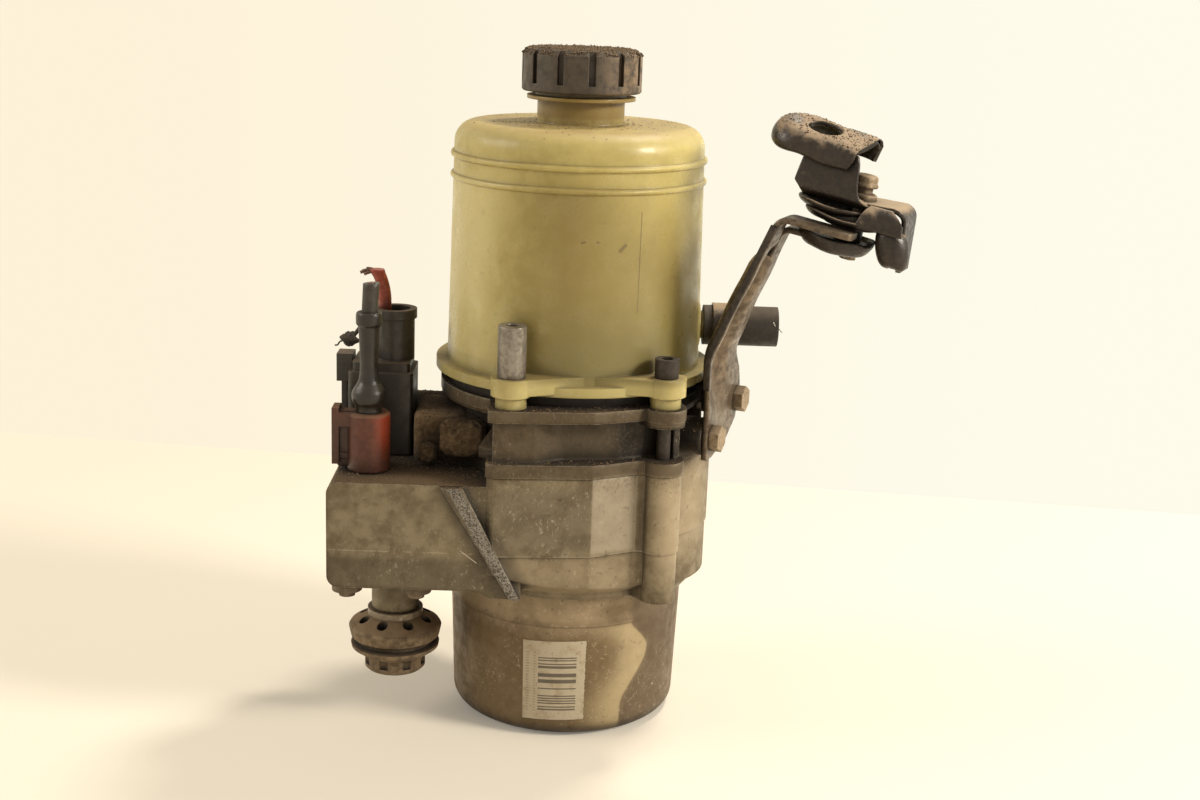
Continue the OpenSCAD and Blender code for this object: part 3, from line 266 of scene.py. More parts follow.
def blank_material(name):
    """A material with nothing but its output, and the tree of its nodes."""
    material = bpy.data.materials.new(name)
    material.use_nodes = True
    material.node_tree.nodes.clear()
    tree = Tree(material.node_tree)
    return material, tree, tree.add("OutputMaterial")


def product(tree, first, *others):
    """Masks multiplied together."""
    for other in others:
        first = tree.math("MULTIPLY", first, other)
    return first


def tint(tree, colour, paint, *masks):
    """The colour turned towards a paint by the product of the masks."""
    return tree.mix(product(tree, *masks), colour, tone(*paint))


PALE_SHARE = 0.55
EDGE_RADIUS = 0.0007
DULLER, SHINIER, DUSTY_ROUGH = 0.12, 0.08, 0.95
GRAIN_STRENGTH = 0.6


def worn(
    name, pale, mid, dark, rough=0.6, metal=0.0, dust=None, dust_share=0.8, grime_and_shade=(40, 33, 26), grime_and_shade_share=0.75,
    edge=None, edge_share=0.0, speck=(46, 38, 30), speck_share=0.25, blotch_scale=40.0, speck_scale=420.0,
    grain_scale=1500.0, grain_depth=0.00006, soften=0.0008, hollow=0.012, patchy=0.7, marks=None, **constant
):
    """A weathered surface: three tones mixed by blotches, then own marks, edges, specks, dust, and dirt with painted
    shade in hollows.
    """
    material, tree, out = blank_material(name)
    shader = tree.add("BsdfPrincipled")
    tree.tree.links.new(shader.outputs[0], out.inputs[0])
    for socket, value in constant.items():
        shader.inputs[socket.replace("_", " ")].default_value = value
    wear = use_group(
        tree, WEATHERING, Blotch_Scale=blotch_scale, Speck_Scale=speck_scale, Grain_Scale=grain_scale,
        Hollow_Reach=hollow, Patchiness=patchy,
    )
    edges = use_group(tree, EDGES, Radius=EDGE_RADIUS, Soften=soften)
    colour = tree.mix(wear["Blotch"], tone(*dark), tone(*mid))
    colour = tint(tree, colour, pale, wear["Fine Blotch"], PALE_SHARE)
    shine = tree.blend(wear["Fine Blotch"], rough + DULLER, rough - SHINIER)
    if marks:
        colour = marks(tree, colour, wear)
    if edge:
        colour = tint(tree, colour, edge, edges["Mask"], edge_share)
    colour = tint(tree, colour, speck, wear["Speck"], speck_share)
    if dust:
        lying = product(tree, wear["Settled"], dust_share)
        colour = tint(tree, colour, dust, lying)
        shine = tree.blend(lying, shine, DUSTY_ROUGH)
    # Hollows turn towards the dark colour: dirt, and painted shade where light is blocked.
    colour = tint(tree, colour, grime_and_shade, wear["Hollow"], grime_and_shade_share)
    tree.put(shader.inputs["Base Color"], colour)
    tree.put(shader.inputs["Roughness"], shine)
    shader.inputs["Metallic"].default_value = metal
    bump = tree.add(
        "Bump", Strength=GRAIN_STRENGTH, Distance=grain_depth, Height=wear["Grain"], Normal=edges["Normal"]
    )
    tree.put(shader.inputs["Normal"], bump.outputs[0])
    return material


def inside(tree, value, low, high, soft):
    """One between low and high, falling to nothing over soft outside them."""
    rise = tree.span(value, low - soft, low + soft)
    fall = tree.span(value, high + soft, high - soft)
    return tree.math("MULTIPLY", rise, fall)


def within(tree, value, low, high, soft):
    """The same for a length, with the limits in millimetres."""
    return inside(tree, value, low * MM, high * MM, soft * MM)


def ramp(tree, value, low, high, *ends):
    """A smooth step of a length, with the limits in millimetres."""
    return tree.span(value, low * MM, high * MM, *ends)


def scratch(tree, ax, az, bx, bz, half):
    """The mask of a line on the front, from A to B, in millimetres."""
    return use_group(tree, SCRATCH, AX=ax * MM, AZ=az * MM, BX=bx * MM, BZ=bz * MM, Half_Width=half * MM)["Mask"]


# Finishes

RIB_TOP = (-47.0, 117.0)
RIB_FOOT = (-21.2, 69.6)
RIB_HALF, RIB_SHADE_HALF = 2.8, 9.0
PARTING_Z, PARTING_HALF = 88.4, 0.12
BOX_FRONT_Y = -60.0
# Areas of the casting's front in mm: x from, to, fade; z from, to, fade; share; paint
HOUSING_PATCHES = [
    ((9.8, 28.5, 0.4), (89.0, 122.5, 2.0), 0.55, (180, 168, 148)),
    ((-30.0, 9.4, 2.0), (92.0, 118.0, 4.0), 0.55, (108, 98, 80)),
    # Painted light: the right end of the front paler, where the light falls.
    ((34.5, 200.0, 5.5), (79.0, 121.0, 10.0), 0.55, (196, 178, 148)),
    # Painted shade: a dark upright band left of the right boss.
    ((29.0, 32.5, 1.2), (72.0, 119.0, 6.0), 0.6, (74, 60, 42)),
    ((-26.0, 30.0, 6.0), (67.0, 87.0, 2.0), 0.4, (170, 152, 124)),
]
KNOCK = (-43.7, 89.5, -37.1, 84.5, 0.22)


def housing_marks(tree, colour, wear):
    """The bright rib with dark speckles, the parting line, the paler front facet and scratches of the main casting, and
    painted light and shade: a lit right end, near black shade in the waist recess, shade beside the rib, low on the box
    and left of the right boss.
    """
    here = tree.here()
    x, y, z = tree.split(here)
    front = tree.math("LESS_THAN", y, BOX_FRONT_Y * MM)
    facing = ramp(tree, y, -2.0, -30.0)
    for across, upright, share, paint in HOUSING_PATCHES:
        patch = product(tree, within(tree, x, *across), within(tree, z, *upright), facing)
        colour = tint(tree, colour, paint, patch, share)
    colour = tint(tree, colour, (66, 52, 35), within(tree, z, 122.5, 150.0, 1.0), 0.7)
    # Painted shade: near black in the waist recess right of the middle, where the flanges shade it.
    waist_shade = product(tree, within(tree, z, 128.5, 143.2, 0.6), ramp(tree, x, 12.0, 24.0), facing)
    colour = tint(tree, colour, (22, 17, 12), waist_shade, 0.9)
    rib = scratch(tree, *RIB_TOP, *RIB_FOOT, RIB_HALF)
    # Painted shade in a band along both sides of the rib.
    shade_by_rib = scratch(tree, *RIB_TOP, *RIB_FOOT, RIB_SHADE_HALF)
    proud = ramp(tree, y, -65.8, -66.4)
    colour = tint(tree, colour, (62, 54, 45), shade_by_rib, front, 0.55)
    flecks = tree.span(tree.noise(here, 1500.0, 4.0, 0.7), 0.47, 0.56)
    bright = tree.mix(flecks, tone(144, 138, 128), tone(70, 63, 54))
    colour = tree.mix(product(tree, rib, proud), colour, bright)
    broken = tree.span(tree.noise(here, 130.0, 3.0), 0.42, 0.55)
    line = within(tree, z, PARTING_Z - PARTING_HALF, PARTING_Z + PARTING_HALF, 0.2)
    colour = tint(tree, colour, (196, 186, 168), line, broken, 0.5)
    # Painted shade: darker towards the bottom of the box's front, below the parting line.
    under = product(tree, ramp(tree, z, 88.5, 83.5), ramp(tree, x, -30.0, -36.0), front)
    colour = tint(tree, colour, (80, 70, 55), under, 0.65)
    worn_area = tree.span(tree.noise(here, 38.0, 3.0, 0.6), 0.42, 0.62)
    scuffs = tree.span(tree.noise(tree.stretch(here, (1.0, 1.0, 0.7)), 620.0, 8.0, 0.85, 0.4), 0.55, 0.63)
    colour = tint(tree, colour, (194, 183, 160), scuffs, worn_area, 0.6)
    powder = tree.span(tree.noise(here, 700.0, 5.0, 0.75), 0.5, 0.6)
    colour = tint(tree, colour, (104, 84, 60), powder, ramp(tree, z, 108.0, 121.0), 0.45)
    return tint(tree, colour, (206, 196, 178), scratch(tree, *KNOCK), front)


def can_marks(tree, colour, wear):
    """The can's grey band above the seam, the clean pale patch right of the sticker and the rusty stain below it."""
    here = tree.here()
    x, y, z = tree.split(here)
    angle = tree.math("MULTIPLY", tree.math("ARCTAN2", y, x), 180.0 / math.pi)
    ripple = tree.math("MULTIPLY", tree.math("SUBTRACT", tree.noise(here, 90.0, 5.0, 0.6), 0.5), 6.0)
    low_side = ramp(tree, z, 38.5, 12.0, -45.0, -60.0)
    high_side = ramp(tree, z, 38.5, 53.0, 0.0, -11.0)
    border = tree.math("ADD", tree.math("ADD", low_side, high_side), tree.math("MULTIPLY", ripple, 0.35))
    from_border = tree.math("SUBTRACT", border, angle)
    front = ramp(tree, y, 6.0, -14.0)
    colour = tint(tree, colour, (176, 156, 126), ramp(tree, z, 52.0, 56.0), front, 0.45)
    stain = inside(tree, tree.math("ADD", angle, ripple), -140.0, -62.0, 5.0)
    colour = tint(tree, colour, (108, 88, 57), stain, ramp(tree, z, 52.0, 44.0), front, 0.75)
    shaded = product(tree, tree.span(from_border, 4.0, -4.0), ramp(tree, z, 66.0, 58.0), front)
    colour = tint(tree, colour, (90, 75, 56), shaded, 0.75)
    patch = product(tree, tree.span(from_border, -0.8, 0.8), tree.span(from_border, 26.0, 4.0), front)
    colour = tint(tree, colour, (188, 170, 132), patch, ramp(tree, z, 53.5, 50.0), 0.75)
    worn_area = tree.span(tree.noise(here, 30.0, 3.0, 0.6), 0.4, 0.62)
    flecks = tree.span(tree.noise(here, 480.0, 8.0, 0.8, 0.6), 0.55, 0.63)
    colour = tint(tree, colour, (190, 176, 148), flecks, worn_area, 0.7)
    wavy = tree.math("ADD", z, tree.math("MULTIPLY", ripple, 0.00008))
    return tint(tree, colour, (92, 74, 54), within(tree, wavy, 51.4, 51.9, 0.3), 0.6)


TANK_SCRATCH = (25.9, 229.5, 25.6, 188.6, 0.22)
TANK_SMUDGES = ((17.6, 214.2, 19.6, 216.4, 0.9), (2.0, 217.4, 3.4, 217.8, 0.5), (8.2, 217.7, 9.0, 217.7, 0.4))


def tank_marks(tree, colour, wear):
    """Yellow at the shoulder, painted light on the left edge, painted shade in the olive middle and on the lower right,
    green low down; the scratch, smudges and lying dust.
    """
    x, y, z = tree.split(tree.here())
    radius = tree.reach(x, y)
    body = product(tree, ramp(tree, z, 248.0, 232.0), ramp(tree, z, 158.5, 163.0))
    # Painted light: the left edge paler yellow, lit from the side.
    colour = tint(tree, colour, (222, 208, 152), ramp(tree, x, -26.0, -42.0), body, 0.6)
    colour = tint(tree, colour, (174, 164, 120), ramp(tree, z, 166.5, 164.5, 0.0, 0.35))
    # Painted shade: the olive darker middle, the dark inside seen through the wall and the dark room's reflection.
    colour = tint(tree, colour, (132, 112, 58), within(tree, x, -20.0, 18.0, 22.0), body, 0.74)
    # Painted shade: the lower right side darker, a dark reflection.
    flank = product(tree, within(tree, x, 12.0, 52.0, 14.0), ramp(tree, z, 246.0, 205.0), body)
    colour = tint(tree, colour, (134, 117, 68), flank, 0.6)
    throat = product(tree, ramp(tree, z, 262.0, 264.0), ramp(tree, radius, 31.0, 29.0))
    colour = tint(tree, colour, (126, 98, 26), throat, 0.7)
    low = product(tree, ramp(tree, z, 205.0, 166.0), within(tree, x, -12.0, 46.0, 14.0), body)
    colour = tint(tree, colour, (118, 112, 70), low, 0.62)
    shelf = product(tree, ramp(tree, z, 257.5, 260.2), ramp(tree, radius, 54.0, 44.0))
    patchy = tree.span(wear["Fine Blotch"], 0.15, 0.9, 0.35, 1.0)
    colour = tint(tree, colour, (150, 124, 74), shelf, patchy, 0.75)
    colour = tint(tree, colour, (92, 76, 48), scratch(tree, *TANK_SCRATCH), 0.7)
    for smudge in TANK_SMUDGES:
        colour = tint(tree, colour, (88, 74, 48), scratch(tree, *smudge), 0.6)
    return colour


def plug_marks(tree, colour, wear):
    """The power plug's painted highlight, orange-red, high on its right side, and dark smudges near its foot and round
    its sides.
    """
    here = tree.here()
    x, _, z = tree.split(here)
    # Painted highlight: orange-red on the upper right side.
    colour = tint(tree, colour, (176, 66, 34), ramp(tree, x, -83.0, -76.5), ramp(tree, z, 122.0, 137.0), 0.5)
    colour = tint(tree, colour, (74, 49, 39), ramp(tree, x, -89.5, -91.5), 0.55)
    smudge = tree.span(tree.noise(tree.stretch(here, (1.0, 1.0, 0.4)), 110.0, 6.0, 0.7), 0.45, 0.7)
    return tint(tree, colour, (62, 42, 30), smudge, ramp(tree, z, 131.0, 120.0, 0.25, 1.0), 0.75)


def cap_marks(tree, colour, wear):
    """Brown dirt over the cap's right side and its rim."""
    x, _, _ = tree.split(tree.here())
    return tint(tree, colour, (146, 121, 92), ramp(tree, x, 4.0, 22.0), wear["Fine Blotch"], 0.8)


FINISH = {
    # The casting's dust colour is brown dust darkened as painted shade, to suit the shaded box top behind the plugs.
    "cast_aluminium": worn(
        "weathered_casting", (154, 141, 115), (126, 113, 88), (100, 87, 65), rough=0.52, metal=0.3, blotch_scale=26.0,
        dust=(102, 82, 58), dust_share=0.95, edge=(192, 180, 156), edge_share=0.6, marks=housing_marks, soften=0.0022,
        grime_and_shade=(30, 24, 17), grime_and_shade_share=0.95, grain_depth=0.00012, speck_share=0.35, hollow=0.026,
    ),
    "can_metal": worn(
        "can_aluminium", (160, 141, 114), (140, 121, 95), (104, 88, 66), rough=0.5, metal=0.25,
        edge=(176, 160, 136), edge_share=0.3, marks=can_marks, blotch_scale=32.0, speck_share=0.4,
    ),
    "cover_metal": worn("cover_aluminium", (132, 118, 98), (112, 98, 80), (88, 76, 60), metal=0.3),
    "tank_plastic": worn(
        "tank_plastic", (210, 194, 128), (196, 180, 112), (178, 161, 94), rough=0.32, grime_and_shade=(84, 70, 40),
        grime_and_shade_share=0.5, dust=(166, 142, 94), dust_share=0.4, speck=(96, 80, 50), speck_share=0.12,
        blotch_scale=22.0, speck_scale=330.0, grain_depth=0.00003, marks=tank_marks, hollow=0.008,
        Subsurface_Weight=0.22, Subsurface_Radius=(0.6, 0.45, 0.15), Subsurface_Scale=0.012,
    ),
    "cap_plastic": worn(
        "cap_plastic", (88, 76, 60), (72, 61, 48), (52, 44, 34), rough=0.5, dust=(80, 65, 47), dust_share=0.95,
        edge=(120, 103, 80), edge_share=0.6, marks=cap_marks, grain_depth=0.0001,
    ),
    "black_rubber": worn(
        "black_rubber", (50, 42, 34), (36, 30, 24), (25, 21, 17), rough=0.55, dust=(96, 78, 57), dust_share=0.45,
    ),
    "isolator_rubber": worn(
        "isolator_rubber", (164, 141, 109), (128, 108, 82), (80, 66, 49), rough=0.75, dust=(140, 117, 88),
        dust_share=0.75, grime_and_shade=(18, 14, 11), grime_and_shade_share=0.95, hollow=0.009,
    ),
    "boot_rubber": worn(
        "boot_rubber", (40, 33, 28), (31, 26, 22), (24, 20, 17), rough=0.34, dust=(80, 65, 48), dust_share=0.3,
    ),
    "red_plastic": worn(
        "red_plastic", (104, 50, 29), (86, 42, 25), (68, 35, 23), rough=0.42, dust=(122, 92, 64), dust_share=0.75,
        grime_and_shade=(40, 25, 18), blotch_scale=70.0, marks=plug_marks,
    ),
    "black_plastic": worn(
        "black_plastic", (58, 51, 44), (42, 37, 32), (29, 26, 23), rough=0.42, dust=(112, 94, 71), dust_share=0.6,
        edge=(102, 89, 71), edge_share=0.45,
    ),
    "dark_cable": worn("dark_cable", (70, 63, 56), (54, 48, 42), (40, 36, 32), rough=0.45),
    "red_cable": worn(
        "red_cable", (176, 78, 52), (146, 58, 38), (104, 44, 31), rough=0.42, grime_and_shade=(60, 26, 19), blotch_scale=110.0
    ),
    "dull_steel": worn(
        "dull_steel", (154, 137, 115), (112, 96, 77), (70, 57, 44), rough=0.33, metal=0.55, grime_and_shade=(34, 27, 21),
        edge=(70, 58, 46), edge_share=0.5, dust=(120, 100, 75), dust_share=0.3, blotch_scale=60.0, hollow=0.02,
    ),
    "rusty_steel": worn(
        "rusty_steel", (186, 166, 138), (158, 138, 112), (118, 99, 77), rough=0.6, metal=0.2, dust=(166, 142, 112),
        dust_share=0.6, blotch_scale=160.0,
    ),
    "dark_steel": worn(
        "dark_steel", (66, 54, 43), (46, 37, 30), (30, 24, 20), rough=0.32, metal=0.2, dust=(168, 147, 122),
        dust_share=0.95, edge=(132, 110, 84), edge_share=0.5, blotch_scale=90.0, grain_depth=0.00016, patchy=2.6,
        grime_and_shade=(20, 16, 13), grime_and_shade_share=0.85,
    ),
    "bright_steel": worn("bright_steel", (196, 193, 188), (176, 173, 168), (150, 147, 142), rough=0.3, metal=0.9),
    "iron_core": worn("iron_core", (124, 122, 118), (104, 102, 99), (84, 82, 80), rough=0.5, metal=0.6),
    "magnet": worn("magnet", (82, 82, 84), (66, 66, 68), (50, 50, 52), rough=0.4, metal=0.5),
    "copper": worn("copper", (208, 128, 78), (184, 104, 60), (150, 80, 46), rough=0.35, metal=0.8),
    "board_green": worn("board_green", (58, 112, 70), (44, 92, 56), (32, 72, 44), rough=0.35),
    "component_black": worn("component_black", (56, 56, 60), (42, 42, 46), (30, 30, 33), rough=0.4),
    "strainer_mesh": worn("strainer_mesh", (214, 209, 196), (192, 186, 172), (166, 160, 146), rough=0.6),
    "dark_strand": worn(
        "dark_strand", (150, 112, 88), (112, 78, 60), (66, 46, 36), rough=0.5, metal=0.2, blotch_scale=300.0
    ),
    "dusty_plate": worn(
        "dusty_plate", (66, 54, 43), (46, 37, 30), (30, 24, 20), rough=0.36, metal=0.2, dust=(186, 164, 134),
        dust_share=0.7, edge=(140, 118, 90), edge_share=0.5, blotch_scale=90.0, patchy=0.9, grime_and_shade=(24, 19, 15),
    ),
    "tongue_steel": worn(
        "tongue_steel", (138, 121, 100), (104, 89, 72), (66, 55, 44), rough=0.42, metal=0.4, grime_and_shade=(26, 21, 16),
        edge=(150, 132, 106), edge_share=0.35, dust=(106, 90, 70), dust_share=0.25, blotch_scale=80.0,
    ),
    "caked_dirt": worn(
        "caked_dirt", (150, 126, 94), (116, 95, 68), (70, 56, 39), rough=0.95, blotch_scale=90.0, speck_scale=700.0,
        dust=(134, 111, 82), dust_share=0.8, grain_scale=650.0, grain_depth=0.0008, patchy=1.2, speck_share=0.5,
    ),
    "stud_metal": worn(
        "stud_metal", (166, 159, 148), (138, 131, 120), (102, 94, 83), rough=0.34, metal=0.5, grime_and_shade_share=0.5,
        edge=(104, 92, 76), edge_share=0.5, blotch_scale=120.0,
    ),
    "clotted_dirt": worn(
        "clotted_dirt", (150, 126, 94), (122, 100, 74), (88, 71, 52), rough=0.95, blotch_scale=420.0, grime_and_shade_share=0.4,
    ),
    # Dark steel with painted shade: the arm's turned edge and the long screws sit in shade.
    "shaded_dark_steel": worn("shaded_dark_steel", (70, 60, 50), (54, 45, 37), (38, 31, 26), rough=0.5, metal=0.3, blotch_scale=90.0),
    "machined_aluminium": worn(
        "machined_aluminium", (184, 172, 152), (160, 147, 127), (122, 108, 90), rough=0.4, metal=0.45,
        dust=(140, 119, 92), dust_share=0.6, speck=(214, 206, 192), speck_share=0.5, speck_scale=260.0,
    ),
}

# The long screws in the waist cavity take the dark steel with painted shade.
OWN_FINISH = {"spacer_stud": "stud_metal", "long_screws": "shaded_dark_steel"}
for piece in frame["record"]["subparts"]:
    part = parts[piece["node"]]
    part.data.materials.clear()
    part.data.materials.append(FINISH[OWN_FINISH.get(piece["node"], piece["material_slot"])])


# New pieces as surfaces worked out on grids

def grid_mesh(name, points, around=False, looped=False, capped=False, uv=None):
    """A mesh from a grid of points, one face for each cell; columns may close on themselves, and rows too."""
    rows, columns = points.shape[:2]
    number = np.arange(rows * columns).reshape(rows, columns)
    ring = np.concatenate([number, number[:, :1]], axis=1) if around else number
    ring = np.concatenate([ring, ring[:1]]) if looped else ring
    cells = np.stack([ring[:-1, :-1], ring[:-1, 1:], ring[1:, 1:], ring[1:, :-1]], axis=-1).reshape(-1, 4)
    faces = cells.tolist()
    if capped:
        faces += [number[0, ::-1].tolist(), number[-1].tolist()]
    mesh = bpy.data.meshes.new(name)
    mesh.from_pydata(points.reshape(-1, 3).tolist(), [], faces)
    if uv is not None:
        layer = mesh.uv_layers.new(name="plane")
        layer.data.foreach_set("uv", uv.reshape(-1, 2)[cells.reshape(-1)].astype(np.float32).ravel())
    smooth = np.ones(len(mesh.polygons), bool)
    if capped:
        smooth[-2:] = False
    mesh.polygons.foreach_set("use_smooth", smooth)
    mesh.update()
    return linked(name, mesh)


def finish_piece(piece, slot, body, *nodes, material=None):
    """Gives a new piece its finish, chosen by its slot unless a material is given, and its body, and hides the solids
    that it stands for.
    """
    piece.data.materials.append(material or FINISH[slot])
    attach(piece, body)
    if nodes:
        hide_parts(*nodes)
    return piece


def smooth_line(points, count):
    """A line through the points: on each stretch a cubic whose ends lean along the chord of the neighbours."""
    points = np.asarray(points, float)
    padded = np.vstack([2 * points[:1] - points[1:2], points, 2 * points[-1:] - points[-2:-1]])
    place = np.linspace(0, len(points) - 1, count)
    start = np.minimum(place.astype(int), len(points) - 2)
    t = (place - start)[:, None]
    before, here, there, after = (padded[start + step] for step in range(4))
    bend = 2 * before - 5 * here + 4 * there - after
    return 0.5 * (2 * here + (there - before) * t + bend * t**2 + (3 * here - before - 3 * there + after) * t**3)


def circle_of(sides):
    """Angles once round."""
    return np.linspace(0, 2 * np.pi, sides, endpoint=False)


def ball_grid(margin, rows, columns):
    """Angles down from the pole and round, for a closed ball that stops a little short of both poles."""
    return np.meshgrid(np.linspace(margin, np.pi - margin, rows), circle_of(columns), indexing="ij")


def round_points(radius, angle, height):
    """Points at a radius, an angle and a height."""
    return np.stack(np.broadcast_arrays(radius * np.cos(angle), radius * np.sin(angle), height), axis=-1)


def lathe(name, profile, centre, sides=64):
    """A turned piece: each point of the profile, radius and height, goes once round the upright through the centre."""
    points = round_points(profile[:, :1], circle_of(sides)[None, :], profile[:, 1:2])
    return grid_mesh(name, (points + np.asarray(centre)) * MM, around=True, capped=True)


ACROSS_TUBE = np.array([0.0, 1.0, 0.0])
END_POWER = 12
SHEET_POWER = 14


def tube(name, path, radius, sides, cut=0.0):
    """A round bar along a path: each ring lies square to it, and cut slants the last ones by the side's height."""
    path = np.asarray(path, float)
    along = np.gradient(path, axis=0)
    along /= np.linalg.norm(along, axis=1, keepdims=True)
    side = np.cross(ACROSS_TUBE, along)
    side /= np.linalg.norm(side, axis=1, keepdims=True)
    other = np.cross(along, side)
    angle = circle_of(sides)[None, :, None]
    radius = np.broadcast_to(np.asarray(radius, float), (len(path),))[:, None, None]
    offset = radius * (np.cos(angle) * side[:, None] + np.sin(angle) * other[:, None])
    end = np.linspace(0, 1, len(path))[:, None, None] ** END_POWER
    offset = offset + along[:, None] * np.cos(angle) * radius * cut * end
    return grid_mesh(name, (path[:, None] + offset) * MM, around=True, capped=True)


def strip(name, path, ahead, outward, low, high, thickness, press=None, columns=56):
    """A bent strip of sheet: a flat oval of high power carried along a path, from low to high, pushed in by press."""
    share = np.sin(np.linspace(-np.pi / 2, np.pi / 2, columns // 2 + 1))[:-1]
    across = np.concatenate([share, -share])[None, :]
    face = np.repeat([1.0, -1.0], columns // 2)[None, :]
    through = face * np.clip(1 - np.abs(across) ** SHEET_POWER, 0, 1) ** (1 / SHEET_POWER)
    width = low[:, None] + (high - low)[:, None] * (across + 1) / 2
    depth = (through - 1) / 2 * thickness
    if press is not None:
        depth = depth - press(np.linspace(0, 1, len(path))[:, None], width)
    points = path[:, None] + ahead * width[..., None] + outward[:, None] * depth[..., None]
    return grid_mesh(name, points * MM, around=True, capped=True)


LABEL_ANGLE, LABEL_HALF_ANGLE = -94.4, 15.3
LABEL_FOOT, LABEL_HEIGHT, LABEL_SLANT, LABEL_LIFT = 8.4, 36.8, 0.5, 0.12
LABEL_COLUMNS, LABEL_ROWS, LABEL_RAGGED = 49, 65, 0.18
LABEL_BARS, LABEL_BEADS = 64.0, 180.0
CAN_FOOT_R, CAN_TOP_R, CAN_FOOT_Z, CAN_TOP_Z = 50.0, 52.0, 7.0, 66.0


def sticker():
    """A paper label on the can: radius follows the can's cone, angle and height run over a grid with ragged sides."""
    across, up = np.meshgrid(np.linspace(0, 1, LABEL_COLUMNS), np.linspace(0, 1, LABEL_ROWS))
    draw = np.random.default_rng(4)
    ragged = draw.normal(0, LABEL_RAGGED, LABEL_ROWS)[:, None]
    side = across * 2 - 1
    angle = np.radians(LABEL_ANGLE + side * LABEL_HALF_ANGLE + np.where(side > 0.99, ragged, 0.0))
    height = LABEL_FOOT + up * LABEL_HEIGHT + side * LABEL_SLANT
    taper = (height - CAN_FOOT_Z) / (CAN_TOP_Z - CAN_FOOT_Z)
    radius = CAN_FOOT_R + (CAN_TOP_R - CAN_FOOT_R) * taper + LABEL_LIFT
    label = grid_mesh("sticker", round_points(radius, angle, height) * MM, uv=np.stack([across, up], axis=-1))
    finish_piece(label, "can_metal", "pump", material=sticker_paper())


def sticker_paper():
    """Dirty cream paper with a field of printed bars and two beaded columns, by the label's own flat coordinates."""
    material = bpy.data.materials.new("sticker_paper")
    material.use_nodes = True
    tree = Tree(material.node_tree)
    shader = material.node_tree.nodes["Principled BSDF"]
    u, v, _ = tree.split(tree.add("UVMap").outputs[0])
    here = tree.here()
    dirt = tree.noise(here, 160.0, 6.0, 0.65)
    colour = tree.mix(tree.span(dirt, 0.45, 0.75), tone(198, 186, 162), tone(162, 141, 108))
    step = tree.math("FLOOR", tree.math("MULTIPLY", v, LABEL_BARS))
    chance = tree.add("TexWhiteNoise", settings={"noise_dimensions": "1D"}, W=step).outputs[0]
    bars = product(tree, tree.math("GREATER_THAN", chance, 0.52), inside(tree, v, 0.12, 0.84, 0.004))
    colour = tint(tree, colour, (72, 64, 58), bars, inside(tree, u, 0.25, 0.86, 0.004), 0.82)
    beads = tree.span(tree.math("SINE", tree.math("MULTIPLY", v, LABEL_BEADS)), -0.2, 0.5)
    field = product(tree, beads, inside(tree, v, 0.1, 0.86, 0.01))
    for low, high in ((0.05, 0.10), (0.17, 0.21)):
        colour = tint(tree, colour, (120, 106, 88), inside(tree, u, low, high, 0.008), field, 0.45)
    blots = tree.span(tree.noise(here, 420.0, 3.0), 0.64, 0.7)
    colour = tint(tree, colour, (110, 86, 56), blots, 0.7)
    tree.put(shader.inputs["Base Color"], colour)
    shader.inputs["Roughness"].default_value = 0.6
    return material


BOOT_PROFILE = [
    (5.6, 0), (5.5, 1.5), (5.9, 3.0), (6.8, 4.6), (7.15, 6.6), (6.8, 8.8), (5.7, 10.8), (4.6, 12.6), (4.0, 15.0),
    (3.75, 18.5), (3.8, 23.0), (4.0, 28.0), (4.25, 33.0), (4.5, 35.8), (5.2, 36.9), (5.4, 37.8), (5.4, 40.5),
    (5.05, 41.8), (4.2, 42.1), (3.5, 41.4),
]
STUB_FROM, STUB_LEAN, STUB_R, CORE_R, STUB_CUT = 34.0, 0.9, 3.4, 1.7, 0.12


def power_lead_pieces():
    """The turned rubber boot, and the cut-off cable that leans out of it to a slanting end."""
    low, high = (np.array(corner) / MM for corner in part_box("power_boot"))
    foot = np.array([(low[0] + high[0]) / 2, (low[1] + high[1]) / 2, low[2]])
    boot = lathe("boot_skin", smooth_line(BOOT_PROFILE, 96), foot)
    finish_piece(boot, "boot_rubber", "power_lead", "power_boot")
    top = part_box("power_cable")[1][2] / MM
    rise = np.linspace(0, 1, 16)[:, None]
    path = foot + np.array([0, 0, STUB_FROM]) + rise * np.array([STUB_LEAN, 0, top - foot[2] - STUB_FROM])
    stub = tube("power_stub", path, STUB_R, 28, cut=STUB_CUT)
    finish_piece(stub, "dark_cable", "power_lead", "power_cable")
    end = path[-1] + np.linspace(-2.0, 0.35, 6)[:, None] * np.array([0.03, 0, 1.0])
    core = tube("power_core", end, CORE_R, 14, cut=STUB_CUT)
    finish_piece(core, "copper", "power_lead", material=FINISH["dark_strand"])


SIGNAL_BEND = 28.0
SIGNAL_RISE = 26.0
SIGNAL_TURN = math.radians(30)
SIGNAL_INSET = 4.6
SHEATH_R, SHEATH_END_R, SHEATH_CUT = 2.75, 2.95, -0.55
STRANDS, STRAND_R = 11, 0.7
WIRE_LINE = [(-83, -13, 177), (-85.5, -19, 178), (-89, -22, 175), (-92.5, -22.5, 170.5), (-94.5, -22.5, 168)]
WIRE_TAIL_LINE = [(-97, -22.5, 167.5), (-99, -22.5, 166.8), (-100, -22.5, 165.4), (-101.2, -22.5, 165.2)]
WIRE_DIRT_AT, WIRE_DIRT_HALF = np.array([-94.8, -22.5, 168.2]), np.array([3.6, 2.6, 2.7])


